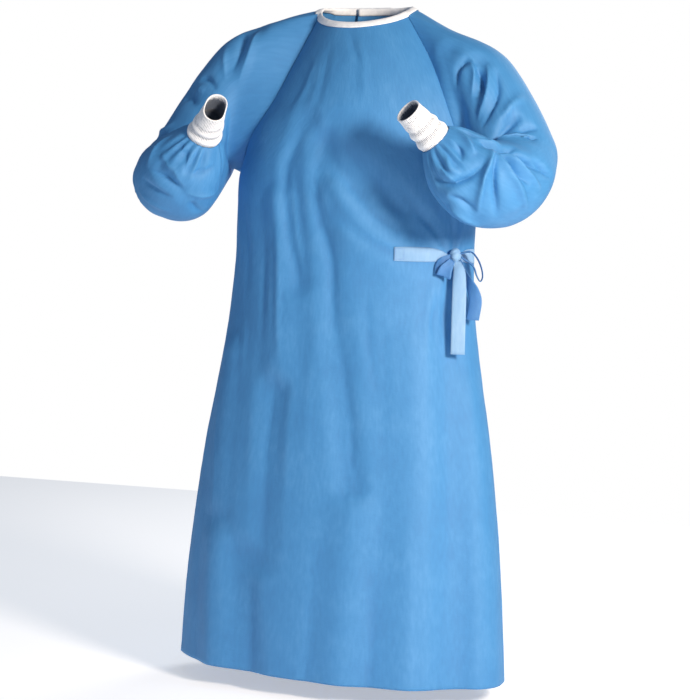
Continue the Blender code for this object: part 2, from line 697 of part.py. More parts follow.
def arm_end(arm):
    """The frame of the cuff seam: its middle, the way along the arm and two ways across."""
    upper = axis_of(arm.upper_heading, arm.upper_pitch)
    fore = axis_of(arm.fore_heading, arm.fore_pitch)
    bend_axis = unit(np.cross(upper, fore))
    last = ELBOW_RINGS[-1]
    axis = turned(upper, bend_axis, last.turn)
    inner = np.cross(bend_axis, axis)
    crook = spot(arm.lateral, arm.forward, arm.height)
    centre = crook - inner * last.reach + axis * last.slide + bend_axis * last.aside
    return centre, axis, inner, np.cross(axis, inner)


def make_cuff(name, arm, side_sign):
    centre, axis, inner, side = arm_end(arm)
    angles = np.arange(CUFF_POINTS) * 2 * math.pi / CUFF_POINTS
    outer, within = [], []
    for row in CUFF_ROWS:
        middle = centre + axis * (row.along + CUFF_GAP)
        outer.append(ellipse(middle, inner, row.radius, side, row.radius, angles))
        within.append(ellipse(middle, inner, row.radius - row.wall, side, row.radius - row.wall, angles))
    outer, within = np.array(outer) * side_sign, np.array(within) * side_sign
    points = np.concatenate([outer.reshape(-1, 3), within.reshape(-1, 3)])
    return solid(name, points, sheet_faces(outer, within, True), WHITE_KNIT)


def row_of_knot(knot):
    return np.interp(knot, row_knots(), np.arange(SKIRT_ROWS + YOKE_ROWS + 1))


def make_laid_strip(name, panels, steps, sag):
    """A tape that lies on the cloth, squeezed together and sagging a little towards the bow."""
    tops, bottoms, facings = [], [], []
    for panel, column, squeeze in steps:
        grid, normals = panels[panel]
        across = column / (grid.shape[1] - 1)
        middle, reach = TIE_HEIGHT - squeeze * sag, TIE_WIDTH / 2 * (1 - squeeze)
        tops.append(at_share(grid, across, row_of_knot(middle + reach)))
        bottoms.append(at_share(grid, across, row_of_knot(middle - reach)))
        facings.append(unit(at_share(normals, across, row_of_knot(middle))))
    facings = np.array(facings)[:, None]
    outer = np.stack([bottoms, tops], axis=1) + facings * (TIE_GAP + TIE_THICKNESS)
    return walled(name, outer, np.repeat(facings, 2, axis=1), TIE_THICKNESS, TIE_CLOTH)


def make_waist_tie(panels):
    """The two ties along the waist and the bow they make at the wearer's left."""
    front, normals = panels["front"]
    bow_share = BOW_COLUMN / FRONT_COLUMNS
    bow_normal = unit(at_share(normals, bow_share, row_of_knot(TIE_HEIGHT)))
    bow = at_share(front, bow_share, row_of_knot(TIE_HEIGHT)) + bow_normal * KNOT_OUT
    make_laid_strip("tie_front", panels, FRONT_TIE_STEPS, FRONT_TIE_SAG)
    make_laid_strip("tie_back", panels, BACK_TIE_STEPS, 0)
    make_knot(bow, bow_normal)
    right_way = np.array((math.cos(BOW_TURN), math.sin(BOW_TURN), 0.0))
    towards = np.array((math.sin(BOW_TURN), -math.cos(BOW_TURN), 0.0))
    up = np.array((0.0, 0.0, 1.0))
    for name, rows in BOW_STRIPS.items():
        table = np.array(rows)
        middles = bow + table[:, :3] @ np.array((right_way, up, towards))
        turn, tilt = np.radians(table[:, 4]), np.radians(table[:, 5])
        flat = np.outer(np.cos(turn), right_way) + np.outer(np.sin(turn), towards)
        across = flat * np.cos(tilt)[:, None] + np.outer(np.sin(tilt), up)
        outward = unit(np.cross(np.gradient(middles, axis=0), across))
        strip(name, middles, across, outward, table[:, 3], TIE_THICKNESS, TIE_CLOTH)


def make_knot(bow, bow_normal):
    """The knot: a rounded lump with a waist where the tape wraps round it."""
    side = unit(np.cross((0.0, 0.0, 1.0), bow_normal))
    up = np.cross(bow_normal, side)
    half_side, half_up, half_out = KNOT_SIZE
    points = [bow + up * half_up]
    for lift in KNOT_RINGS:
        for i in range(KNOT_POINTS):
            angle = i * 2 * math.pi / KNOT_POINTS
            swell = math.sin(math.acos(lift)) * (1 + 0.10 * math.cos(3 * angle + lift * 2))
            points.append(bow + up * half_up * lift + side * half_side * swell * math.cos(angle)
                          + bow_normal * half_out * swell * math.sin(angle))
    points.append(bow - up * half_up)
    faces = []
    last = 1 + (len(KNOT_RINGS) - 1) * KNOT_POINTS
    for i in range(KNOT_POINTS):
        k = (i + 1) % KNOT_POINTS
        faces.append((0, 1 + i, 1 + k))
        for a in range(1, last, KNOT_POINTS):
            b = a + KNOT_POINTS
            faces += [(a + i, b + i, b + k), (a + i, b + k, a + k)]
        faces.append((last + i, len(points) - 1, last + k))
    return solid("tie_knot", np.array(points), faces, TIE_CLOTH)


def make_closure(name, grid, normals, columns, out):
    """A fastener patch laid on one of the backs near the neck."""
    rows = [grid.shape[0] - 1 - r for r in CLOSURE_ROWS]
    outer = np.array([[at_share(grid, c, r) for c in columns] for r in rows[::-1]])
    facing = np.array([[unit(at_share(normals, c, r)) for c in columns] for r in rows[::-1]])
    return walled(name, outer + facing * out, facing, CLOSURE_THICKNESS, WHITE_TAPE)


def ring_of(along):
    return along * (SLEEVE_RINGS - 1)


def folded(grids, normals, knots, stations):
    """All the cloth with its folds, which fade out towards the raglan and side seams."""
    front, right, left, arm_left, arm_right = grids
    yoke = eased(UNDERARM_HEIGHT - 0.06, UNDERARM_HEIGHT + 0.02, knots)[:, None]
    neck = eased(0, 0.03, -knots)[:, None]
    back = panel_grid(BACK_RAGLAN, -1, [np.linspace(0, 1, BACK_COLUMNS + 1)] * len(knots))
    panels = ((front, front, FRONT_FOLDS, front_columns),
              (right, back, BACK_FOLDS, right_back_columns),
              (left, back, BACK_FOLDS, left_back_columns))
    made = []
    for facing, (grid, guide, folds, columns_at) in zip(normals, panels):
        shares = np.array([columns_at(knot) for knot in knots])
        edge = eased(0, 0.10, np.minimum(shares, 1 - shares))
        made.append(with_folds(grid, facing, guide, folds, row_of_knot, (1 - yoke * (1 - edge)) * neck))
    fade = np.repeat(eased(0, 0.10, stations)[:, None], arm_left.shape[1], axis=1)
    sleeves = ((arm_left, normals[3], LEFT_SLEEVE_FOLDS), (arm_right, normals[4], RIGHT_SLEEVE_FOLDS))
    for arm, facing, folds in sleeves:
        made.append(with_gathers(with_folds(arm, facing, arm, folds, ring_of, fade), stations))
    return made


def with_gathers(rings, stations):
    """Gathers the sleeve onto its cuff."""
    count = rings.shape[1]
    wave = np.cos(np.arange(count) * 2 * math.pi * CUFF_GATHERS / count)
    height = GATHER_LIFT * eased(0.84, 0.95, stations) * (1 - 0.7 * eased(0.955, 1.0, stations))
    middles = rings.mean(axis=1, keepdims=True)
    return rings + unit(rings - middles) * (height[:, None] * wave)[..., None]


def main():
    for old in list(bpy.data.objects):
        bpy.data.objects.remove(old)
    knots = row_knots()
    front = panel_grid(FRONT_RAGLAN, 1, [front_columns(k) for k in knots])
    right = panel_grid(BACK_RAGLAN, -1, [right_back_columns(k) for k in knots])
    left = step_inwards(panel_grid(BACK_RAGLAN, -1, [left_back_columns(k) for k in knots]))
    join_sides(front[:SKIRT_ROWS, -1], left[:SKIRT_ROWS, 0])
    join_sides(front[:SKIRT_ROWS, 0], right[:SKIRT_ROWS, -1])
    loops = (armhole_loop(front, left), armhole_loop(front[:, ::-1] * MIRROR, right[:, ::-1] * MIRROR))
    stations = np.linspace(0, 1, SLEEVE_RINGS)
    arms = []
    for loop, arm in zip(loops, (LEFT_ARM, RIGHT_ARM)):
        keys = sleeve_keys(loop, arm)
        arms.append(np.array([smooth_through(*keys, s) for s in stations]))
    grids = [front, right, left, *arms]
    for stage in range(2):
        normals = [grid_normals(g) for g in grids[:3]] + [ring_normals(g) for g in grids[3:]]
        meet(*normals)
        if stage == 0:
            grids = folded(grids, normals, knots, stations)
    front, right, left, arm_left, arm_right = grids
    walled("front_panel", pulled(front, "first", "last"), normals[0], WALL, BLUE_CLOTH)
    walled("back_panel_right", pulled(right, "last"), normals[1], WALL, BLUE_CLOTH)
    walled("back_panel_left", pulled(left, "first"), normals[2], WALL, BLUE_CLOTH)
    walled("sleeve_left", pulled(arm_left, "ring"), normals[3], WALL, BLUE_CLOTH, closed=True)
    walled("sleeve_right", pulled(arm_right, "ring") * MIRROR, normals[4] * MIRROR, WALL, BLUE_CLOTH,
           closed=True)
    make_binding(grids, normals)
    make_cuff("cuff_left", LEFT_ARM, 1)
    make_cuff("cuff_right", RIGHT_ARM, MIRROR)
    make_waist_tie({"front": (front, normals[0]), "right": (right, normals[1]), "left": (left, normals[2])})
    make_closure("neck_hook_strip", right, normals[1], RIGHT_CLOSURE_COLUMNS, -WALL - CLOSURE_GAP)
    make_closure("neck_loop_strip", left, normals[2], LEFT_CLOSURE_COLUMNS, CLOSURE_GAP + CLOSURE_THICKNESS)


main()
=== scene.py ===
import math
import bpy
import numpy as np
from mathutils import Matrix, Vector, noise
from mathutils.bvhtree import BVHTree


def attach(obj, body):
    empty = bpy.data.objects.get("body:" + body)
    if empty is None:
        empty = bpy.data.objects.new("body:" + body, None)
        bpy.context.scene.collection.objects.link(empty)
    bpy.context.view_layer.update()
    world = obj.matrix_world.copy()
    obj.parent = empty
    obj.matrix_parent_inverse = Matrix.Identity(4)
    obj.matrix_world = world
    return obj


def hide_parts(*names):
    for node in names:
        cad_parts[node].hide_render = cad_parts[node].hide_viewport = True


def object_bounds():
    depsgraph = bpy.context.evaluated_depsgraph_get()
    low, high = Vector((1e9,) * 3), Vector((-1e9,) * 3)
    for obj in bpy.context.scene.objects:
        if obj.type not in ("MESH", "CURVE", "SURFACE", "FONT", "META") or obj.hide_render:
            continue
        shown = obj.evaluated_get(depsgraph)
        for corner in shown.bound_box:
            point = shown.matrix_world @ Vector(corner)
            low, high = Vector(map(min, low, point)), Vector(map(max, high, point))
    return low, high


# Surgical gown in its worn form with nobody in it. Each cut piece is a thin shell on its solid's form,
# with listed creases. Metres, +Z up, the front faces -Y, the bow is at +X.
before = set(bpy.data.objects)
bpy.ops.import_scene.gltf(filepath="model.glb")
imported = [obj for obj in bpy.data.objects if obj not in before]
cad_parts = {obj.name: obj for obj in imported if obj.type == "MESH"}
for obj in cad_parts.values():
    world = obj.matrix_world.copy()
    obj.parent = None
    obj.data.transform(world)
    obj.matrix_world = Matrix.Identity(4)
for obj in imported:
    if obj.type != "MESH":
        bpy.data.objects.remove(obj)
cadLow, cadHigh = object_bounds()
mirror = np.array((-1.0, 1.0, 1.0))

# What most pieces share
gown = dict(
    hem=-1.204, hemTilt=0.005, underarm=-0.305,
    backGap=0.0045, neckGap=0.0065,  # how far the inner back lies inside the outer one
    skirtRows=150, yokeRows=80, neckSteps=20,
    frontColumns=168, rightColumns=96, leftColumns=66, backColumns=96,
    sleeveRings=220,
    cloth=0.0007,
)

# height, half width, front depth, back depth, how far forward the middle lies
bodySections = [
    (-1.205, 0.311, 0.172, 0.164, 0.052),
    (-1.050, 0.301, 0.166, 0.157, 0.052),
    (-0.900, 0.286, 0.158, 0.148, 0.050),
    (-0.780, 0.270, 0.150, 0.138, 0.048),
    (-0.660, 0.249, 0.140, 0.128, 0.046),
    (-0.550, 0.233, 0.130, 0.119, 0.044),
    (-0.460, 0.227, 0.123, 0.113, 0.041),
    (-0.380, 0.228, 0.119, 0.109, 0.038),
    (-0.305, 0.226, 0.117, 0.106, 0.035),
]

# rise, lateral, shift, forward and height of the raglan seam, edge angle,
# forward and height of the panel's middle
frontRaglan = [
    (0.25, 0.200, 0.006, 0.078, -0.243, 22, 0.151, -0.242),
    (0.50, 0.164, 0.018, 0.086, -0.176, 34, 0.147, -0.180),
    (0.75, 0.128, 0.014, 0.060, -0.098, 34, 0.122, -0.109),
]
backRaglan = [
    (0.25, 0.200, 0.004, -0.028, -0.243, 22, -0.078, -0.244),
    (0.50, 0.165, 0.008, -0.054, -0.178, 34, -0.088, -0.180),
    (0.75, 0.122, 0.006, -0.062, -0.096, 34, -0.086, -0.097),
]
neck = dict(halfWidth=0.086, front=0.078, back=0.058, dip=0.036, rise=0.006, frontSeam=18, backSeam=33)

# along, lateral, forward, height, heading, pitch, half top, half front
shoulderRings = [
    (0.13, 0.202, 0.022, -0.170, 2, 18, 0.148, 0.072),
    (0.27, 0.256, 0.037, -0.202, 18, -6, 0.122, 0.076),
]
# along, turn, slide, reach, half reach, half wide, aside
elbowRings = [
    (0.41, 0, 0.014, 0.084, 0.072, 0.078, 0.018),
    (0.50, 20, 0.013, 0.084, 0.071, 0.080, 0.024),
    (0.59, 42, 0.011, 0.084, 0.071, 0.081, 0.031),
    (0.67, 64, 0.009, 0.084, 0.072, 0.081, 0.039),
    (0.75, 88, 0.009, 0.083, 0.072, 0.080, 0.047),
    (0.83, 110, 0.013, 0.081, 0.067, 0.072, 0.053),
    (0.92, 120, 0.034, 0.074, 0.057, 0.060, 0.057),
    (0.97, 123, 0.058, 0.068, 0.042, 0.042, 0.058),
    (1.00, 123, 0.072, 0.065, 0.0305, 0.0305, 0.059),
]
leftArm = dict(crook=(0.283, 0.141, -0.234), upper=(43, -49), fore=(144, 44), out=0.004, up=0.004, less=0.018)
rightArm = dict(crook=(0.292, 0.141, -0.234), upper=(43, -49), fore=(139, 44), out=0.006, up=0.010, less=0.004)


def spot(lateral, forward, height):
    return np.array((lateral, -forward, height))


def unit(vector):
    return vector / np.linalg.norm(vector, axis=-1, keepdims=True)


def eased(low, high, at):
    share = np.clip((at - low) / (high - low), 0, 1)
    return share * share * (3 - 2 * share)


def smoothThrough(knots, values, at):
    # rows of values on a smooth curve through all the given rows
    knots, values, at = np.asarray(knots, float), np.asarray(values, float), np.atleast_1d(at)
    slopes = np.gradient(values, knots, axis=0)
    low = np.clip(np.searchsorted(knots, at) - 1, 0, len(knots) - 2)
    shape = (-1,) + (1,) * (values.ndim - 1)
    span = (knots[low + 1] - knots[low]).reshape(shape)
    s = (at - knots[low]).reshape(shape) / span
    start = (2 * s**3 - 3 * s**2 + 1) * values[low] + (s**3 - 2 * s**2 + s) * span * slopes[low]
    return start + (3 * s**2 - 2 * s**3) * values[low + 1] + (s**3 - s**2) * span * slopes[low + 1]


def arcRow(lateral, shift, edge, middle, edgeAngle, columns, side):
    # one level of a panel, part of an ellipse from seam to seam. side is 1 in front, -1 behind
    low = math.radians(edgeAngle)
    angles = low + columns * (math.pi - 2 * low)
    bulge = (np.sin(angles) - math.sin(low)) / (1 - math.sin(low))
    across = shift - side * lateral * np.cos(angles) / math.cos(low)
    forward = edge[0] + (middle[0] - edge[0]) * bulge
    height = edge[1] + (middle[1] - edge[1]) * bulge
    return np.stack([across, -forward, height], axis=1)


def neckPoints(degrees):
    # 0 is the wearer's left side of the neck edge, 90 its front and -90 its back
    turn = np.radians(degrees)
    forward = np.where(turn > 0, neck["front"], neck["back"]) * np.sin(turn)
    height = np.where(turn > 0, -neck["dip"] * np.sin(turn), -neck["rise"] * np.sin(turn))
    return np.stack([neck["halfWidth"] * np.cos(turn), -forward, height], axis=1)


def panelKeys(raglan, side, columns):
    knots, rows = [], []
    for height, halfWidth, frontDepth, backDepth, forward in bodySections:
        depth = frontDepth if side > 0 else -backDepth
        knots.append(height)
        edge, middle = (forward, height), (forward + depth, height)
        rows.append(arcRow(halfWidth, 0, edge, middle, 0, columns, side))
    for rise, lateral, shift, forward, height, angle, middleForward, middleHeight in raglan:
        knots.append(gown["underarm"] * (1 - rise))
        edge, middle = (forward, height), (middleForward, middleHeight)
        rows.append(arcRow(lateral, shift, edge, middle, angle, columns, side))
    seam = neck["frontSeam"] if side > 0 else neck["backSeam"]
    turn = seam + columns * (180 - 2 * seam)
    knots.append(0)
    rows.append(neckPoints(180 - turn if side > 0 else -turn))
    return knots, np.array(rows)


rowKnots = np.concatenate([
    np.linspace(gown["hem"], gown["underarm"], gown["skirtRows"] + 1),
    np.linspace(gown["underarm"], 0, gown["yokeRows"] + 1)[1:],
])


def rowOfHeight(height):
    return np.interp(height, rowKnots, np.arange(len(rowKnots)))


def ringOfShare(along):
    return along * (gown["sleeveRings"] - 1)


def panelGrid(raglan, side, columnsAt):
    rows = []
    for knot in rowKnots:
        knots, keys = panelKeys(raglan, side, columnsAt(knot))
        rows.append(smoothThrough(knots, keys, knot)[0])
    grid = np.array(rows)
    low = 1 - eased(gown["hem"], gown["hem"] + 0.5, grid[..., 2])
    grid[..., 2] -= gown["hemTilt"] * low * grid[..., 0] / bodySections[0][1]
    return grid


def flapEdge(knot):  # where the outer back ends, as a share of the way from left to right
    return 0.12 + 0.20 * eased(-0.42, 0, knot)


def underEdge(knot):  # where the inner back ends
    return 0.60 + 0.12 * eased(-0.42, 0, knot)


def frontColumnsAt(knot):
    return np.linspace(0, 1, gown["frontColumns"] + 1)


def backColumnsAt(knot):
    return np.linspace(0, 1, gown["backColumns"] + 1)


def rightColumnsAt(knot):
    return flapEdge(knot) + (1 - flapEdge(knot)) * np.linspace(0, 1, gown["rightColumns"] + 1)


def leftColumnsAt(knot):
    return underEdge(knot) * np.linspace(0, 1, gown["leftColumns"] + 1)


def gridNormals(grid):
    return unit(np.cross(np.gradient(grid, axis=1), np.gradient(grid, axis=0)))


def ringNormals(rings):
    around = np.roll(rings, -1, axis=1) - np.roll(rings, 1, axis=1)
    return unit(np.cross(around, np.gradient(rings, axis=0)))


def stepInwards(grid):
    # the inner back steps in, so that the outer one lies over it
    inward = -gridNormals(grid)
    for i, knot in enumerate(rowKnots):
        gap = gown["backGap"] + (gown["neckGap"] - gown["backGap"]) * eased(-0.1, -0.02, knot)
        step = gap * eased(0.03, flapEdge(knot) * 0.95, leftColumnsAt(knot))
        grid[i] += inward[i] * step[:, None]
    return grid


def armholeLoop(front, back):
    # the left raglan seam as a ring: down the front, up the back, over the neck
    steps = np.linspace(-neck["backSeam"], neck["frontSeam"], gown["neckSteps"] + 1)[1:-1]
    first = gown["skirtRows"]
    return np.concatenate([front[first:, -1][::-1], back[first:, 0][1:], neckPoints(steps)])


def axisOf(heading, pitch):
    heading, pitch = math.radians(heading), math.radians(pitch)
    return spot(math.cos(pitch) * math.cos(heading), math.cos(pitch) * math.sin(heading), math.sin(pitch))


def turned(vector, about, degrees):
    angle = math.radians(degrees)
    along = about * (about @ vector) * (1 - math.cos(angle))
    return vector * math.cos(angle) + np.cross(about, vector) * math.sin(angle) + along


def carried(top, oldAxis, newAxis):
    # a ring's top, carried along the arm without a twist
    turnAxis = np.cross(oldAxis, newAxis)
    sine = np.linalg.norm(turnAxis)
    return turned(top, turnAxis / sine, math.degrees(math.atan2(sine, oldAxis @ newAxis)))


def ellipse(centre, first, halfFirst, second, halfSecond, angles):
    return centre + np.outer(np.cos(angles), first) * halfFirst + np.outer(np.sin(angles), second) * halfSecond


def sleeveKeys(loop, arm):
    count = len(loop)
    angles = math.pi * gown["neckSteps"] / count + np.arange(count) * 2 * math.pi / count
    knots, keys = [0.0], [loop]
    axis, top = unit(np.array((0.90, 0.0, 0.43))), unit(np.array((-0.43, 0.0, 0.90)))
    for along, lateral, forward, height, heading, pitch, halfTop, halfFront in shoulderRings:
        newAxis = axisOf(heading, pitch)
        top, axis = carried(top, axis, newAxis), newAxis
        centre = spot(lateral + arm["out"], forward, height + arm["up"])
        knots.append(along)
        keys.append(ellipse(centre, top, halfTop - arm["less"], np.cross(axis, top), halfFront, angles))
    upper, fore = axisOf(*arm["upper"]), axisOf(*arm["fore"])
    bendAxis = unit(np.cross(upper, fore))
    top = carried(top, axis, upper)
    inner = np.cross(bendAxis, upper)
    roll = math.atan2(top @ np.cross(upper, inner), top @ inner)
    for along, turn, slide, reach, halfReach, halfWide, aside in elbowRings:
        axis = turned(upper, bendAxis, turn)
        inner = np.cross(bendAxis, axis)
        centre = spot(*arm["crook"]) - inner * reach + axis * slide + bendAxis * aside
        knots.append(along)
        keys.append(ellipse(centre, inner, halfReach, np.cross(axis, inner), halfWide, angles + roll))
    return knots, np.array(keys)


def armEnd(arm):
    # the cuff seam's middle, the way along the arm and two ways across
    upper, fore = axisOf(*arm["upper"]), axisOf(*arm["fore"])
    bendAxis = unit(np.cross(upper, fore))
    along, turn, slide, reach, halfReach, halfWide, aside = elbowRings[-1]
    axis = turned(upper, bendAxis, turn)
    inner = np.cross(bendAxis, axis)
    centre = spot(*arm["crook"]) - inner * reach + axis * slide + bendAxis * aside
    return centre, axis, inner, np.cross(axis, inner)


def joinEdges(edge, other):
    middle = (edge + other) / 2
    edge[:] = middle
    other[:] = middle


def joinNormals(normals):
    # pieces that meet along a seam share its normals
    front, right, left, armLeft, armRight = normals
    skirt, yoke = gown["skirtRows"], gown["yokeRows"]
    for edge, other in ((front[:skirt, -1], left[:skirt, 0]), (front[:skirt, 0], right[:skirt, -1])):
        mean = unit(edge + other)
        edge[:] = mean
        other[:] = mean
    for arm, fore, back, sign in ((armLeft, front[skirt:, -1], left[skirt:, 0], 1),
                                  (armRight, front[skirt:, 0], right[skirt:, -1], mirror)):
        ring = arm[0] * sign
        ring[:yoke + 1] += fore[::-1]
        ring[yoke:2 * yoke + 1] += back
        ring = unit(ring)
        fore[:] = ring[:yoke + 1][::-1]
        back[:] = ring[yoke:2 * yoke + 1]
        arm[0] = ring * sign
    return normals


def allNormals(grids):
    return joinNormals([gridNormals(g) for g in grids[:3]] + [ringNormals(g) for g in grids[3:]])


def pointAt(grid, across, row, closed=False):
    # a point between four points of a grid. across is a share, and wraps round a closed one
    rows, columns = grid.shape[:2]
    column = (across % 1) * columns if closed else np.clip(across * (columns - 1), 0, columns - 1.000001)
    row = np.clip(row, 0, rows - 1.000001)
    i, j = int(row), int(column)
    k = (j + 1) % columns
    v, u = row - i, column - j
    low = grid[i, j] * (1 - u) + grid[i, k] * u
    high = grid[i + 1, j] * (1 - u) + grid[i + 1, k] * u
    return low * (1 - v) + high * v


def pathOn(guide, waypoints, rowOf, closed):
    way = np.array(waypoints, float)
    at = np.linspace(0, len(way) - 1, 7 * (len(way) - 1) + 1)
    smooth = smoothThrough(np.arange(len(way)), way, at)
    return np.array([pointAt(guide, a, rowOf(u), closed) for a, u in smooth])


def nearPath(points, path, reach):
    # distance of every point from a path, and how far along the path its nearest place is
    away = np.full(points.shape[:2], 1e3)
    share = np.zeros(points.shape[:2])
    inside = ((points > path.min(axis=0) - reach) & (points < path.max(axis=0) + reach)).all(axis=-1)
    if not inside.any():
        return away, share
    near = points[inside]
    best, where = np.full(len(near), 1e3), np.zeros(len(near))
    for i in range(len(path) - 1):
        step = path[i + 1] - path[i]
        t = np.clip((near - path[i]) @ step / max(step @ step, 1e-12), 0, 1)
        distance = np.linalg.norm(near - path[i] - t[:, None] * step, axis=1)
        closer = distance < best
        best[closer] = distance[closer]
        where[closer] = (i + t[closer]) / (len(path) - 1)
    away[inside], share[inside] = best, where
    return away, share


def foldLift(points, path, wide, lift, liftEnd):
    # a broad fold, the same as in the solid
    away, share = nearPath(points, path, wide)
    return (lift + (liftEnd - lift) * share) * (0.5 + 0.5 * np.cos(math.pi * np.clip(away / wide, 0, 1)))


def creaseLift(points, path, wide, lift, ends, sharp):
    # a crease with the cloth swelling a little beside it. ends is how much is left at each end
    away, share = nearPath(points, path, wide * 2.6)
    r = np.clip(away / wide, 0, 2.6)
    soft = (1 - 1.2 * r**2) * np.exp(-0.9 * r**2) * (1 - eased(2.0, 2.6, r))
    pressed = np.exp(-1.5 * r) * (1 - eased(1.6, 2.6, r))
    across = soft + (pressed - soft) * sharp
    taper = ends[0] * (1 - share) + ends[1] * share + np.sin(math.pi * share)
    return lift * across * np.clip(taper, 0, 1)


# Broad folds, the same as in the solids: across and up at both ends, width, lift at both ends
frontFolds = [
    (0.340, -0.360, 0.385, -0.660, 0.045, 0.007, 0.005),
    (0.345, -0.200, 0.420, -0.500, 0.040, -0.006, -0.006),
    (0.450, -0.250, 0.520, -0.560, 0.042, -0.006, -0.006),
    (0.530, -0.600, 0.575, -0.860, 0.042, -0.006, -0.007),
    (0.455, -0.250, 0.720, -0.405, 0.050, -0.008, -0.005),
    (0.500, -0.345, 0.790, -0.450, 0.045, 0.007, 0.004),
    (0.378, -0.700, 0.390, -1.000, 0.050, -0.008, -0.006),
    (0.190, -0.640, 0.235, -0.900, 0.050, 0.007, 0.005),
    (0.255, -0.980, 0.280, -1.204, 0.055, 0.009, 0.010),
    (0.340, -1.000, 0.375, -1.204, 0.055, -0.008, -0.009),
    (0.580, -0.900, 0.560, -1.204, 0.060, 0.007, 0.010),
    (0.735, -0.620, 0.690, -1.204, 0.065, 0.006, 0.011),
    (0.830, -0.560, 0.800, -1.204, 0.060, -0.006, -0.010),
    (0.915, -0.700, 0.900, -1.204, 0.060, 0.006, 0.010),
]
backFolds = [
    (0.250, -0.500, 0.230, -1.204, 0.070, 0.008, 0.012),
    (0.420, -0.600, 0.400, -1.204, 0.060, -0.007, -0.011),
    (0.560, -0.480, 0.600, -1.204, 0.070, 0.008, 0.011),
    (0.740, -0.560, 0.770, -1.204, 0.060, -0.006, -0.010),
    (0.880, -0.500, 0.900, -1.204, 0.060, 0.006, 0.009),
    (0.340, -0.160, 0.620, -0.420, 0.050, -0.007, -0.004),
]
rightSleeveFolds = [
    (0.005, 0.180, 0.110, 0.230, 0.036, -0.006, -0.004),
    (0.000, 0.340, 0.100, 0.330, 0.036, -0.005, -0.004),
    (0.680, 0.900, 0.530, 0.855, 0.030, -0.006, -0.004),
    (0.740, 0.600, 0.650, 0.720, 0.036, 0.005, 0.004),
    (0.560, 0.450, 0.720, 0.420, 0.034, -0.005, -0.003),
    (0.300, 0.300, 0.200, 0.480, 0.034, -0.005, -0.004),
]
leftSleeveFolds = [
    (0.090, 0.130, 0.230, 0.130, 0.036, -0.007, -0.004),
    (0.060, 0.250, 0.160, 0.310, 0.036, -0.007, -0.005),
    (0.050, 0.380, 0.000, 0.430, 0.034, -0.007, -0.004),
    (0.820, 0.860, 0.700, 0.740, 0.032, 0.006, 0.005),
    (0.850, 0.720, 0.800, 0.650, 0.034, -0.006, -0.004),
    (0.630, 0.900, 0.560, 0.800, 0.030, 0.005, 0.004),
    (0.560, 0.450, 0.720, 0.420, 0.034, -0.005, -0.003),
    (0.300, 0.300, 0.200, 0.480, 0.034, -0.005, -0.004),
]

# How strongly each piece's creases stand out
creaseStrength = dict(front=0.85, skirt=0.42, back=0.60, rightSleeve=1.45, leftSleeve=1.9)
# and how sharp their lines are, from 0 for a soft swell to 1 for a pressed edge
creaseSharpness = dict(panels=0.35, sleeves=0.85)
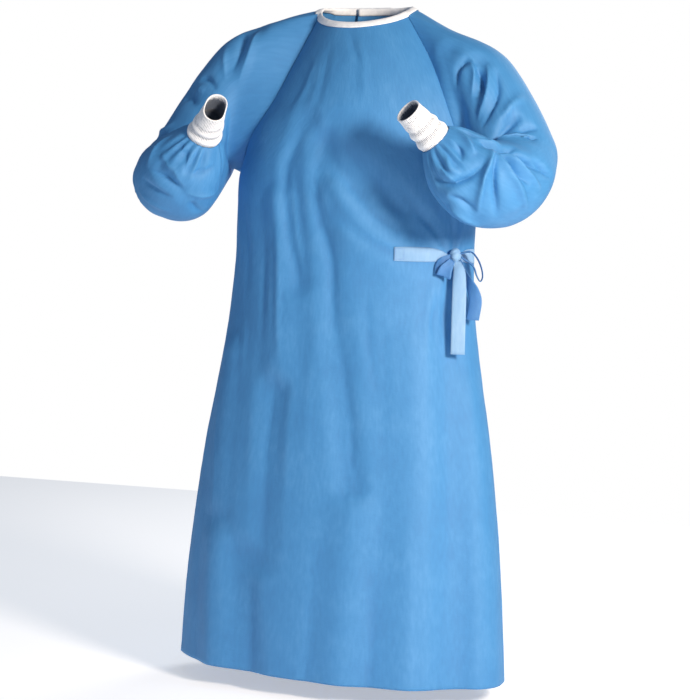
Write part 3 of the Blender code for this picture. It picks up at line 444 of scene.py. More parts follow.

# Creases, listed one by one: the way as across and height, width and lift in millimetres,
# and how much is left at the ends
frontCreases = [
    ([(0.338, -0.370), (0.361, -0.494), (0.375, -0.587), (0.393, -0.660)], 9, 3.2, (0, 0)),
    ([(0.339, -0.205), (0.351, -0.283), (0.382, -0.431), (0.422, -0.500)], 13, -3.6, (0, 0)),
    ([(0.372, -0.300), (0.402, -0.420), (0.440, -0.520)], 10, 2.4, (0, 0)),
    ([(0.449, -0.250), (0.456, -0.366), (0.502, -0.461), (0.516, -0.554), (0.542, -0.640)], 13, -3.8, (0, 0)),
    ([(0.542, -0.620), (0.565, -0.720), (0.579, -0.790)], 11, -3.0, (0.3, 0.3)),
    ([(0.572, -0.760), (0.574, -0.830)], 7, -3.6, (0, 0)),
    ([(0.571, -0.808), (0.575, -0.890), (0.578, -0.962)], 7, 2.2, (0, 0)),
    ([(0.456, -0.255), (0.553, -0.333), (0.621, -0.383), (0.721, -0.416), (0.812, -0.437)], 17, -5.5, (0.3, 0)),
    ([(0.470, -0.300), (0.560, -0.385), (0.650, -0.428), (0.780, -0.452)], 13, 4.2, (0, 0)),
    ([(0.500, -0.225), (0.570, -0.310), (0.670, -0.368), (0.800, -0.405)], 34, -9.0, (0, 0)),
    ([(0.445, -0.300), (0.520, -0.400), (0.640, -0.455), (0.760, -0.480)], 36, 8.0, (0, 0)),
    ([(0.600, -0.300), (0.680, -0.360), (0.780, -0.415)], 12, 2.6, (0, 0)),
    ([(0.708, -0.362), (0.780, -0.405), (0.836, -0.442)], 8, -3.2, (0, 0.5)),
    ([(0.750, -0.352), (0.810, -0.400), (0.848, -0.440)], 7, 2.6, (0, 0.5)),
    ([(0.767, -0.372), (0.820, -0.410), (0.850, -0.440)], 7, -2.6, (0, 0.6)),
    ([(0.820, -0.360), (0.850, -0.400), (0.860, -0.436)], 7, -2.8, (0, 0.6)),
    ([(0.878, -0.370), (0.876, -0.410), (0.866, -0.440)], 7, -2.4, (0, 0.6)),
    ([(0.900, -0.400), (0.885, -0.425), (0.868, -0.447)], 6, 2.2, (0, 0.6)),
    ([(0.850, -0.462), (0.835, -0.520), (0.822, -0.620)], 9, -3.2, (0.6, 0)),
    ([(0.862, -0.466), (0.872, -0.540), (0.880, -0.660)], 10, -3.0, (0.6, 0)),
    ([(0.800, -0.480), (0.770, -0.560), (0.752, -0.680)], 12, 2.6, (0.2, 0)),
    ([(0.379, -0.640), (0.376, -0.740), (0.378, -0.819), (0.396, -1.000)], 10, -3.2, (0, 0)),
    ([(0.150, -0.650), (0.190, -0.760), (0.225, -0.867), (0.240, -1.000)], 7, 2.4, (0, 0)),
    ([(0.299, -0.700), (0.325, -0.860), (0.350, -1.010)], 16, -2.6, (0, 0)),
    ([(0.246, -0.960), (0.262, -1.080), (0.277, -1.204)], 16, 2.8, (0, 1)),
    ([(0.367, -1.010), (0.377, -1.204)], 14, -3.0, (0, 1)),
    ([(0.398, -0.950), (0.419, -1.020)], 7, 2.0, (0, 0)),
    ([(0.483, -0.020), (0.530, -0.055), (0.587, -0.103)], 11, -2.4, (0.3, 0)),
    ([(0.540, -0.030), (0.575, -0.090), (0.590, -0.160)], 12, 2.0, (0, 0)),
    ([(0.330, -0.040), (0.345, -0.110), (0.352, -0.180)], 12, -2.2, (0, 0)),
    ([(0.250, -0.060), (0.240, -0.130), (0.220, -0.190)], 12, 2.0, (0, 0)),
    ([(0.724, -0.820), (0.741, -0.868)], 10, -2.0, (0, 0)),
    ([(0.660, -0.560), (0.670, -0.700), (0.650, -0.840)], 16, 2.2, (0, 0)),
    ([(0.600, -0.500), (0.612, -0.620), (0.640, -0.720)], 12, -2.0, (0, 0)),
    ([(0.480, -0.560), (0.470, -0.700), (0.480, -0.860)], 14, 2.0, (0, 0)),
    ([(0.690, -0.880), (0.700, -1.040), (0.695, -1.204)], 15, 2.2, (0, 1)),
    ([(0.610, -0.960), (0.622, -1.080), (0.618, -1.204)], 13, -2.4, (0, 1)),
    ([(0.500, -0.940), (0.505, -1.080), (0.498, -1.204)], 14, -2.2, (0, 1)),
    ([(0.790, -0.740), (0.800, -0.900), (0.794, -1.060)], 14, -2.2, (0, 0)),
    ([(0.870, -0.820), (0.868, -1.000), (0.860, -1.204)], 15, 2.6, (0, 1)),
    ([(0.930, -0.640), (0.940, -0.860), (0.930, -1.100)], 14, -2.4, (0, 0)),
    ([(0.080, -0.560), (0.110, -0.760), (0.120, -0.980)], 14, -2.6, (0, 0)),
    ([(0.060, -0.900), (0.090, -1.050), (0.100, -1.204)], 14, 2.4, (0, 1)),
    ([(0.170, -0.360), (0.215, -0.440), (0.240, -0.540)], 12, -2.4, (0, 0)),
    ([(0.090, -0.330), (0.150, -0.420), (0.190, -0.520)], 11, 2.2, (0, 0)),
    ([(0.300, -0.420), (0.312, -0.520), (0.330, -0.620)], 10, -2.0, (0, 0)),
    ([(0.430, -0.640), (0.425, -0.760), (0.440, -0.900)], 12, 1.8, (0, 0)),
    ([(0.230, -0.560), (0.262, -0.640), (0.280, -0.720)], 10, 1.8, (0, 0)),
]
backCreases = [
    ([(0.300, -0.080), (0.420, -0.180), (0.520, -0.330)], 14, -3.0, (0, 0)),
    ([(0.560, -0.060), (0.600, -0.180), (0.580, -0.320)], 13, 2.6, (0, 0)),
    ([(0.720, -0.120), (0.640, -0.260), (0.560, -0.400)], 13, -3.0, (0, 0)),
    ([(0.180, -0.420), (0.300, -0.450), (0.440, -0.440)], 14, -2.8, (0.3, 0)),
    ([(0.820, -0.300), (0.720, -0.400), (0.600, -0.470)], 13, 2.4, (0, 0)),
    ([(0.330, -0.480), (0.320, -0.700), (0.340, -0.940)], 15, -2.8, (0, 0)),
    ([(0.500, -0.500), (0.480, -0.760), (0.500, -1.204)], 16, 2.6, (0, 1)),
    ([(0.660, -0.480), (0.680, -0.740), (0.670, -1.000)], 14, -2.6, (0, 0)),
    ([(0.800, -0.420), (0.830, -0.640), (0.820, -0.900)], 14, 2.4, (0, 0)),
    ([(0.180, -0.560), (0.160, -0.800), (0.170, -1.204)], 14, -2.4, (0, 1)),
    ([(0.600, -0.900), (0.620, -1.204)], 14, -2.6, (0, 1)),
    ([(0.940, -0.560), (0.930, -0.860), (0.940, -1.204)], 13, -2.2, (0, 1)),
]
# On a sleeve the way is the share round from the front neck corner and the share along
rightSleeveCreases = [
    ([(0.965, 0.215), (0.020, 0.205), (0.072, 0.206), (0.130, 0.218)], 11, -7.0, (0, 0)),
    ([(0.990, 0.170), (0.050, 0.165), (0.107, 0.160), (0.173, 0.170)], 12, 4.5, (0, 0)),
    ([(0.020, 0.250), (0.070, 0.255), (0.130, 0.250)], 10, 4.0, (0, 0)),
    ([(0.020, 0.318), (0.060, 0.305), (0.130, 0.287)], 8, -6.0, (0, 0)),
    ([(0.020, 0.335), (0.052, 0.324), (0.090, 0.316)], 7, 3.5, (0, 0)),
    ([(0.970, 0.352), (0.010, 0.345), (0.052, 0.342), (0.090, 0.338)], 8, -5.0, (0, 0)),
    ([(0.920, 0.420), (0.970, 0.410), (0.034, 0.385)], 9, 4.0, (0, 0)),
    ([(0.900, 0.480), (0.960, 0.470), (0.020, 0.440)], 9, -4.5, (0, 0)),
    ([(0.850, 0.950), (0.810, 0.915), (0.774, 0.879), (0.750, 0.840)], 9, 4.5, (0, 0)),
    ([(0.766, 0.985), (0.700, 0.972), (0.623, 0.958), (0.575, 0.920)], 9, -5.5, (0, 0)),
    ([(0.752, 0.925), (0.690, 0.918), (0.626, 0.915), (0.555, 0.881)], 9, 4.5, (0, 0)),
    ([(0.746, 0.852), (0.664, 0.880), (0.600, 0.876), (0.540, 0.860)], 9, -6.0, (0, 0)),
    ([(0.420, 0.950), (0.500, 0.940), (0.581, 0.925)], 8, -4.5, (0, 0)),
    ([(0.543, 0.857), (0.441, 0.841), (0.357, 0.810)], 10, 4.5, (0, 0)),
    ([(0.740, 0.800), (0.659, 0.817), (0.572, 0.827)], 10, -5.5, (0, 0)),
    ([(0.730, 0.755), (0.650, 0.772), (0.560, 0.778)], 11, 4.0, (0, 0)),
    ([(0.506, 0.824), (0.481, 0.796), (0.436, 0.743)], 9, -5.0, (0, 0)),
    ([(0.860, 0.700), (0.760, 0.700), (0.660, 0.720)], 10, 4.0, (0, 0)),
    ([(0.900, 0.620), (0.800, 0.610), (0.700, 0.640)], 10, -4.5, (0, 0)),
    ([(0.360, 0.930), (0.340, 0.860), (0.370, 0.780)], 9, -4.0, (0, 0)),
    ([(0.250, 0.620), (0.330, 0.560), (0.420, 0.530)], 10, -4.5, (0, 0)),
    ([(0.150, 0.540), (0.240, 0.480), (0.340, 0.440)], 10, 4.0, (0, 0)),
    ([(0.560, 0.340), (0.520, 0.430), (0.540, 0.530)], 11, -4.5, (0, 0)),
    ([(0.680, 0.220), (0.640, 0.330), (0.660, 0.440)], 12, 4.0, (0, 0)),
    ([(0.780, 0.150), (0.770, 0.260), (0.800, 0.360)], 12, -4.5, (0, 0)),
    ([(0.880, 0.120), (0.870, 0.230), (0.850, 0.330)], 11, 3.5, (0, 0)),
]
leftSleeveCreases = [
    ([(0.060, 0.225), (0.073, 0.217), (0.120, 0.172), (0.180, 0.130)], 9, -6.5, (0, 0)),
    ([(0.060, 0.214), (0.080, 0.226), (0.101, 0.246), (0.165, 0.255)], 8, 5.5, (0, 0)),
    ([(0.070, 0.246), (0.091, 0.280), (0.118, 0.300)], 7, -5.5, (0, 0)),
    ([(0.025, 0.266), (0.065, 0.296), (0.110, 0.312), (0.184, 0.308)], 8, 6.5, (0, 0)),
    ([(0.010, 0.290), (0.060, 0.325), (0.169, 0.340)], 8, -6.0, (0, 0)),
    ([(0.110, 0.362), (0.060, 0.358), (0.015, 0.350), (0.940, 0.342)], 9, 5.5, (0, 0)),
    ([(0.150, 0.402), (0.110, 0.392), (0.070, 0.382), (0.995, 0.372)], 9, -7.5, (0.1, 0)),
    ([(0.140, 0.432), (0.088, 0.424), (0.030, 0.424), (0.963, 0.437)], 8, 6.0, (0.1, 0)),
    ([(0.140, 0.462), (0.070, 0.462), (0.010, 0.470), (0.950, 0.482)], 8, -6.5, (0.1, 0)),
    ([(0.130, 0.500), (0.050, 0.505), (0.970, 0.520)], 9, 5.0, (0.1, 0)),
    ([(0.040, 0.405), (0.990, 0.400), (0.945, 0.402)], 7, -4.5, (0, 0)),
    ([(0.890, 0.690), (0.860, 0.655), (0.832, 0.634), (0.788, 0.583)], 9, -6.0, (0, 0)),
    ([(0.914, 0.970), (0.918, 0.907), (0.925, 0.870)], 9, -7.0, (0.5, 0)),
    ([(0.869, 0.897), (0.882, 0.860), (0.895, 0.822), (0.945, 0.743)], 9, -9.0, (0.5, 0)),
    ([(0.880, 0.935), (0.900, 0.880), (0.940, 0.810)], 8, 5.0, (0, 0)),
    ([(0.886, 0.990), (0.859, 0.962), (0.820, 0.935), (0.784, 0.908)], 8, 6.0, (0, 0)),
    ([(0.800, 0.985), (0.765, 0.950), (0.726, 0.924)], 7, -5.0, (0, 0)),
    ([(0.699, 0.980), (0.667, 0.935), (0.681, 0.900)], 7, 4.0, (0, 0)),
    ([(0.590, 0.970), (0.628, 0.930), (0.650, 0.883)], 7, 4.0, (0, 0)),
    ([(0.534, 0.950), (0.600, 0.907), (0.660, 0.888), (0.715, 0.874), (0.810, 0.862)], 9, -7.5, (0, 0)),
    ([(0.845, 0.862), (0.780, 0.850), (0.713, 0.834), (0.596, 0.781)], 8, 7.5, (0.3, 0)),
    ([(0.840, 0.845), (0.770, 0.826), (0.715, 0.800), (0.640, 0.750)], 7, -6.5, (0.3, 0)),
    ([(0.848, 0.835), (0.800, 0.795), (0.764, 0.749), (0.700, 0.690)], 8, 7.0, (0.3, 0)),
    ([(0.862, 0.828), (0.825, 0.772), (0.790, 0.715)], 7, -6.5, (0.3, 0)),
    ([(0.881, 0.817), (0.838, 0.746), (0.773, 0.660)], 8, 6.5, (0.3, 0)),
    ([(0.908, 0.803), (0.880, 0.718), (0.833, 0.642)], 8, -6.5, (0.3, 0)),
    ([(0.578, 0.870), (0.608, 0.836), (0.614, 0.785)], 9, -5.5, (0, 0)),
    ([(0.540, 0.840), (0.560, 0.790), (0.550, 0.730)], 10, 4.5, (0, 0)),
    ([(0.470, 0.940), (0.480, 0.880), (0.500, 0.810)], 9, -4.5, (0, 0)),
    ([(0.360, 0.930), (0.350, 0.860), (0.380, 0.780)], 9, 4.0, (0, 0)),
    ([(0.250, 0.620), (0.330, 0.560), (0.420, 0.530)], 10, -4.5, (0, 0)),
    ([(0.150, 0.600), (0.240, 0.520), (0.340, 0.460)], 10, 4.0, (0, 0)),
    ([(0.560, 0.340), (0.520, 0.430), (0.540, 0.530)], 11, -4.5, (0, 0)),
    ([(0.680, 0.220), (0.640, 0.330), (0.660, 0.440)], 12, 4.0, (0, 0)),
    ([(0.780, 0.150), (0.770, 0.260), (0.800, 0.360)], 12, -4.5, (0, 0)),
]

# Small wrinkles all over: size in metres, how much longer they are than wide, height
crumple = [(0.090, 2.2, 0.0012), (0.034, 1.6, 0.0006), (0.015, 1.3, 0.00022)]


def crumpleLift(points):
    lift = np.zeros(points.shape[:2])
    flat = points.reshape(-1, 3)
    for size, longer, height in crumple:
        scale = np.array((1.0, 1.0, 1.0 / longer)) / size
        values = [noise.noise(Vector(p)) for p in flat * scale]
        lift += height * np.array(values).reshape(lift.shape)
    return lift


def gathered(rings):
    # the sleeve is gathered onto its cuff in uneven pleats
    stations = np.linspace(0, 1, len(rings))
    turn = np.arange(rings.shape[1]) * 2 * math.pi / rings.shape[1]
    uneven = 1.6 * np.sin(3 * turn + 0.5) + 1.1 * np.sin(5 * turn + 2)
    wave = np.cos(15 * turn + uneven) * (0.7 + 0.3 * np.sin(2 * turn))
    height = 0.0032 * eased(0.89, 0.965, stations) * (1 - 0.75 * eased(0.97, 1.0, stations))
    middles = rings.mean(axis=1, keepdims=True)
    return rings + unit(rings - middles) * (height[:, None] * wave)[..., None]


print("cloth surfaces")
front = panelGrid(frontRaglan, 1, frontColumnsAt)
right = panelGrid(backRaglan, -1, rightColumnsAt)
left = stepInwards(panelGrid(backRaglan, -1, leftColumnsAt))
wholeBack = panelGrid(backRaglan, -1, backColumnsAt)
skirtRows = gown["skirtRows"]
joinEdges(front[:skirtRows, -1], left[:skirtRows, 0])
joinEdges(front[:skirtRows, 0], right[:skirtRows, -1])
stations = np.linspace(0, 1, gown["sleeveRings"])
armLeft = smoothThrough(*sleeveKeys(armholeLoop(front, left), leftArm), stations)
rightLoop = armholeLoop(front[:, ::-1] * mirror, right[:, ::-1] * mirror)
armRight = smoothThrough(*sleeveKeys(rightLoop, rightArm), stations)
base = [front, right, left, armLeft, armRight]
guides = [front, wholeBack, wholeBack, armLeft, armRight]
folds = [frontFolds, backFolds, backFolds, leftSleeveFolds, rightSleeveFolds]
creases = [frontCreases, backCreases, backCreases, leftSleeveCreases, rightSleeveCreases]
skirtShare = 1 - eased(-0.72, -0.50, rowKnots)[:, None]
frontStrength = creaseStrength["front"] + (creaseStrength["skirt"] - creaseStrength["front"]) * skirtShare
strengths = [frontStrength, creaseStrength["back"], creaseStrength["back"],
             creaseStrength["leftSleeve"], creaseStrength["rightSleeve"]]

yokeShare = eased(gown["underarm"] - 0.06, gown["underarm"] + 0.02, rowKnots)[:, None]


def edgeFade(columnsAt, reach):
    # 1 in the middle of a panel, 0 along its raglan seams and its neck edge
    shares = np.array([columnsAt(knot) for knot in rowKnots])
    edge = eased(0, reach, np.minimum(shares, 1 - shares))
    return (1 - yokeShare * (1 - edge)) * eased(0, 0.3 * reach, -rowKnots)[:, None]


def fades(reach):
    panels = [edgeFade(at, reach) for at in (frontColumnsAt, rightColumnsAt, leftColumnsAt)]
    sleeve = eased(0, reach, stations)[:, None]
    return panels + [sleeve, sleeve]


broad = []
for grid, guide, rows, fade, normal in zip(base, guides, folds, fades(0.10), allNormals(base)):
    closed = rows in (leftSleeveFolds, rightSleeveFolds)
    rowOf = ringOfShare if closed else rowOfHeight
    lift = sum(foldLift(grid, pathOn(guide, [(a, u), (b, v)], rowOf, closed), wide, start, end)
               for a, u, b, v, wide, start, end in rows)
    broad.append(grid + normal * (lift * fade)[..., None])
broad[3], broad[4] = gathered(broad[3]), gathered(broad[4])

print("creases")
cloth = []
for grid, guide, rows, fade, shape, normal, strength in zip(base, guides, creases, fades(0.03), broad,
                                                            allNormals(broad), strengths):
    closed = rows in (leftSleeveCreases, rightSleeveCreases)
    rowOf = ringOfShare if closed else rowOfHeight
    lift = np.zeros(grid.shape[:2])
    for way, wide, height, ends in rows:
        unrolled = [way[0]]
        for across, up in way[1:]:
            turns = round(unrolled[-1][0] - across) if closed else 0
            unrolled.append((across + turns, up))
        sharp = creaseSharpness["sleeves" if closed else "panels"]
        path = pathOn(guide, unrolled, rowOf, closed)
        lift += creaseLift(grid, path, wide / 1000, height / 1000, ends, sharp)
    lift = lift * strength * fade + crumpleLift(grid) * (0.4 + 0.6 * fade)
    if closed:
        lift *= 1 - eased(0.93, 0.99, stations)[:, None]
    cloth.append(shape + normal * lift[..., None])
clothNormals = allNormals(cloth)


def linear(hexColour):
    channels = [int(hexColour[i:i + 2], 16) / 255 for i in (1, 3, 5)]
    return tuple(c / 12.92 if c <= 0.04045 else ((c + 0.055) / 1.055) ** 2.4 for c in channels) + (1.0,)


def addNode(tree, kind, inputs=None, **settings):
    node = tree.nodes.new(kind)
    for name, value in settings.items():
        setattr(node, name, value)
    for name, value in (inputs or {}).items():
        if isinstance(value, bpy.types.NodeSocket):
            tree.links.new(value, node.inputs[name])
        else:
            node.inputs[name].default_value = value
    return node


def newMaterial(name):
    material = bpy.data.materials.new(name)
    material.use_nodes = True
    tree = material.node_tree
    return material, tree, tree.nodes["Principled BSDF"]


def spunbondCloth(name, colours):
    # Spunbond polypropylene, pressed between hot rollers: a flat matt cloth of fine fibres with tiny
    # bond points. It gives the eye a chalky blue with soft mottling; its ridges are painted paler as painted
    # highlight and its troughs darker as painted shade.
    material, tree, shader = newMaterial(name)
    uv = addNode(tree, "ShaderNodeTexCoord").outputs["UV"]
    # the fibres run mostly down the roll: streaks about 5 mm wide, since single fibres don't show
    along = addNode(tree, "ShaderNodeMapping", {"Vector": uv, "Scale": (200, 45, 1)})
    streaks = addNode(tree, "ShaderNodeTexNoise", {"Vector": along.outputs["Vector"], "Scale": 1.0, "Detail": 5.0})
    # thick and thin places, 50 mm across
    patches = addNode(tree, "ShaderNodeTexNoise", {"Vector": uv, "Scale": 12.0, "Detail": 3.0})
    ridge = addNode(tree, "ShaderNodeAttribute", attribute_name="ridge")
    mottle = addNode(tree, "ShaderNodeMath", {0: streaks.outputs["Fac"], 1: patches.outputs["Fac"]},
                     operation="MULTIPLY")
    # painted highlight on ridges and painted shade in troughs, read from the ridge attribute
    paintedRidgeLightAndShade = addNode(tree, "ShaderNodeMath", {0: ridge.outputs["Fac"], 1: 0.16, 2: 0.20}, operation="MULTIPLY_ADD")
    tone = addNode(tree, "ShaderNodeMath", {0: mottle.outputs[0], 1: 0.9, 2: paintedRidgeLightAndShade.outputs[0]},
                   operation="MULTIPLY_ADD")
    ramp = addNode(tree, "ShaderNodeValToRGB", {"Fac": tone.outputs[0]})
    stops = ramp.color_ramp.elements
    stops[0].position, stops[1].position = 0.0, 1.0
    stops[0].color, stops[1].color = linear(colours[0]), linear(colours[2])
    middle = stops.new(0.42)
    middle.color = linear(colours[1])
    # bond points 1.2 mm apart on the real cloth, drawn 2.6 mm apart so that they show
    dots = addNode(tree, "ShaderNodeTexVoronoi", {"Vector": uv, "Scale": 385.0}, feature="F1")
    crumpled = addNode(tree, "ShaderNodeTexNoise", {"Vector": uv, "Scale": 60.0, "Detail": 8.0,
                                                    "Roughness": 0.68})
    fine = addNode(tree, "ShaderNodeBump", {"Height": dots.outputs["Distance"], "Strength": 0.2,
                                            "Distance": 0.0002})
    bump = addNode(tree, "ShaderNodeBump", {"Height": crumpled.outputs["Fac"], "Strength": 0.7,
                                            "Distance": 0.0011, "Normal": fine.outputs["Normal"]})
    tree.links.new(ramp.outputs["Color"], shader.inputs["Base Color"])
    tree.links.new(bump.outputs["Normal"], shader.inputs["Normal"])
    shader.inputs["Roughness"].default_value = 0.72
    shader.inputs["IOR"].default_value = 1.5
    shader.inputs["Specular IOR Level"].default_value = 1.0  # the pressed fibres give a broad pale shine
    return material


def ribKnit(name, colour, shade, inside):
    # Cotton and polyester rib, knitted as a tube: soft upright ribs with small loops across them.
    # It gives the eye a bright white, with painted shade in the grey grooves between the loops and a dark painted
    # shade on the inner side.
    material, tree, shader = newMaterial(name)
    uv = addNode(tree, "ShaderNodeTexCoord").outputs["UV"]
    # loops 1.3 mm tall on the real cuff, drawn 2.4 mm tall so that they show
    loops = addNode(tree, "ShaderNodeTexVoronoi", {"Vector": uv, "Scale": 415.0, "Randomness": 0.9},
                    feature="F1")
    fuzz = addNode(tree, "ShaderNodeTexNoise", {"Vector": uv, "Scale": 700.0, "Detail": 4.0})
    ridge = addNode(tree, "ShaderNodeAttribute", attribute_name="ridge")
    # painted shade: darker between the loops, in the troughs, and on the inner side where the ridge attribute is set
    # low
    deep = addNode(tree, "ShaderNodeMath", {0: loops.outputs["Distance"], 1: -0.32, 2: ridge.outputs["Fac"]},
                   operation="MULTIPLY_ADD")
    level = addNode(tree, "ShaderNodeMath", {0: deep.outputs[0], 1: 0.8}, operation="ADD")
    ramp = addNode(tree, "ShaderNodeValToRGB", {"Fac": level.outputs[0]})
    stops = ramp.color_ramp.elements
    stops[0].position, stops[1].position = 0.25, 0.78
    stops[0].color, stops[1].color = linear(inside), linear(colour)
    groove = stops.new(0.45)
    groove.color = linear(shade)
    hairs = addNode(tree, "ShaderNodeBump", {"Height": fuzz.outputs["Fac"], "Strength": 0.35, "Distance": 0.0004})
    bump = addNode(tree, "ShaderNodeBump", {"Height": loops.outputs["Distance"], "Strength": 0.7,
                                            "Distance": 0.0009, "Normal": hairs.outputs["Normal"]}, invert=True)
    tree.links.new(ramp.outputs["Color"], shader.inputs["Base Color"])
    tree.links.new(bump.outputs["Normal"], shader.inputs["Normal"])
    shader.inputs["Roughness"].default_value = 0.9
    shader.inputs["IOR"].default_value = 1.5
    shader.inputs["Specular IOR Level"].default_value = 0.2
    shader.inputs["Sheen Weight"].default_value = 0.25
    return material


def wovenTape(name, colour, shade):
    # Bias tape of plain woven cotton, pressed in half: white with a fine diagonal grain
    material, tree, shader = newMaterial(name)
    uv = addNode(tree, "ShaderNodeTexCoord").outputs["UV"]
    # threads 0.4 mm apart, drawn 1.2 mm apart so that they show
    turnedUv = addNode(tree, "ShaderNodeMapping", {"Vector": uv, "Rotation": (0, 0, math.radians(45)),
                                                   "Scale": (830, 830, 1)})
    threads = addNode(tree, "ShaderNodeTexWave", {"Vector": turnedUv.outputs["Vector"], "Scale": 0.16,
                                                  "Distortion": 1.5})
    patches = addNode(tree, "ShaderNodeTexNoise", {"Vector": uv, "Scale": 90.0, "Detail": 4.0})
    ramp = addNode(tree, "ShaderNodeValToRGB", {"Fac": patches.outputs["Fac"]})
    ramp.color_ramp.elements[0].color = linear(shade)
    ramp.color_ramp.elements[0].position = 0.3
    ramp.color_ramp.elements[1].color = linear(colour)
    ramp.color_ramp.elements[1].position = 0.6
    bump = addNode(tree, "ShaderNodeBump", {"Height": threads.outputs["Fac"], "Strength": 0.4, "Distance": 0.0003})
    tree.links.new(ramp.outputs["Color"], shader.inputs["Base Color"])
    tree.links.new(bump.outputs["Normal"], shader.inputs["Normal"])
    shader.inputs["Roughness"].default_value = 0.85
    shader.inputs["Specular IOR Level"].default_value = 0.25
    return material


gownCloth = spunbondCloth("blueSpunbond", ("#2770ae", "#3485c1", "#559bd3"))
tieCloth = spunbondCloth("paleBlueSpunbond", ("#6295c6", "#80acd4", "#a7c8e2"))
# a darker copy of the tie cloth, painted shade for the bow's loops and side tail
shadedTieCloth = spunbondCloth("paintedShadeBlueSpunbond", ("#2565a8", "#3679b9", "#6198cc"))
# the cuff's grey is painted shade in its grooves, and its dark grey-blue is painted shade on its inner side
cuffKnit = ribKnit("whiteRibKnit", "#ffffff", "#d6d9de", "#5a6474")
neckTape = wovenTape("whiteBiasTape", "#fbfcfd", "#e6eaef")
sewingThread = wovenTape("bluePolyesterThread", "#8fb4e4", "#6f9ad4")
fastenerTape = wovenTape("whiteLoopTape", "#eceef0", "#cdd2d8")


def ridgeOf(grid, normals, closed, reach=2, scale=0.0006):
    # how far each point stands out from its neighbours: 1 on a ridge, -1 in a trough
    def beside(array, step, axis):
        if axis == 1 and closed:
            return np.roll(array, step, axis=1)
        shifted = np.roll(array, step, axis=axis)
        edge = [slice(None)] * 3
        edge[axis] = slice(0, step) if step > 0 else slice(step, None)
        shifted[tuple(edge)] = array[tuple(edge)]
        return shifted
    around = sum(beside(grid, step, axis) for axis in (0, 1) for step in (reach, -reach)) / 4
    out = np.einsum("ijk,ijk->ij", grid - around, normals)
    out -= np.median(out)
    return np.clip(out / scale, -1, 1)


def clothUv(grid, closed):
    # lengths along the cloth in metres, from its middle column and row
    rows, columns = grid.shape[:2]
    across = np.linalg.norm(np.diff(grid[rows // 2], axis=0), axis=1).cumsum()
    down = np.linalg.norm(np.diff(grid[:, columns // 2], axis=0), axis=1).cumsum()
    across, down = np.concatenate([[0], across]), np.concatenate([[0], down])
    if closed:
        across = np.append(across, across[-1] + across[1])
    return across, down


def makeShell(name, grid, normals, material, closed=False, thickness=None, ridgeScale=0.0006):
    rows, columns = grid.shape[:2]
    wide = columns if closed else columns - 1
    quads = [(i * columns + j, i * columns + (j + 1) % columns,
              (i + 1) * columns + (j + 1) % columns, (i + 1) * columns + j)
             for i in range(rows - 1) for j in range(wide)]
    mesh = bpy.data.meshes.new(name)
    mesh.from_pydata(grid.reshape(-1, 3).tolist(), [], quads)
    across, down = clothUv(grid, closed)
    corners = [(across[j + dj], down[i + di]) for i in range(rows - 1) for j in range(wide)
               for di, dj in ((0, 0), (0, 1), (1, 1), (1, 0))]
    mesh.uv_layers.new(name="cloth").data.foreach_set("uv", np.array(corners, np.float32).ravel())
    # the ridge attribute drives the materials' painted highlight on ridges and painted shade in troughs
    ridge = mesh.attributes.new("ridge", "FLOAT", "POINT")
    ridge.data.foreach_set("value", ridgeOf(grid, normals, closed, scale=ridgeScale).astype(np.float32).ravel() * 0.5)
    mesh.materials.append(material)
    mesh.shade_smooth()
    piece = bpy.data.objects.new(name, mesh)
    bpy.context.scene.collection.objects.link(piece)
    solidify = piece.modifiers.new("clothThickness", "SOLIDIFY")
    solidify.thickness = gown["cloth"] if thickness is None else thickness
    solidify.offset = -1
    return piece


def finishPiece(piece, slot, *nodes):
    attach(piece, "root")
    if nodes:
        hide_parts(*nodes)


# flat size of each cut piece and its area, in metres
cutPieces = [
    ("frontPanel", "front_panel", (0.86, 1.20), 0.72, False),
    ("backPanelRight", "back_panel_right", (0.66, 1.22), 0.63, False),
    ("backPanelLeft", "back_panel_left", (0.50, 1.22), 0.44, False),
    ("sleeveLeft", "sleeve_left", (0.62, 0.62), 0.24, True),
    ("sleeveRight", "sleeve_right", (0.62, 0.62), 0.26, True),
]
for (name, node, flat, area, closed), grid, normal in zip(cutPieces, cloth, clothNormals):
    sign = mirror if name == "sleeveRight" else 1
    if name == "sleeveRight":
        grid, normal = (grid * sign)[:, ::-1], (normal * sign)[:, ::-1]
    piece = makeShell(name, grid, normal, gownCloth, closed)
    finishPiece(piece, "gown_cloth", node)
print("panels and sleeves")

# Knitted cuffs: along and radius of the keys, outwards from the sleeve
cuff = dict(
    # how much shorter the tube is where its mouth has dropped, where that is, and how much it is drawn out
    drop=dict(cuffLeft=(0.006, 200, 1.0), cuffRight=(0.016, 165, 1.07)),
    # how much its mouth is pressed flat, and which way it stays wide
    flat=dict(cuffLeft=(0.16, 20), cuffRight=(0.32, 150)),
    rows=[(-0.002, 0.0290), (0.003, 0.0306), (0.009, 0.0322), (0.016, 0.0304), (0.023, 0.0296), (0.030, 0.0312),
          (0.037, 0.0292), (0.046, 0.0290), (0.056, 0.0284), (0.064, 0.0280), (0.070, 0.0284)],
    length=0.07, wall=0.0030, ribs=64, ribHeight=0.0003, pointsPerRib=5, steps=66, rim=7,
)


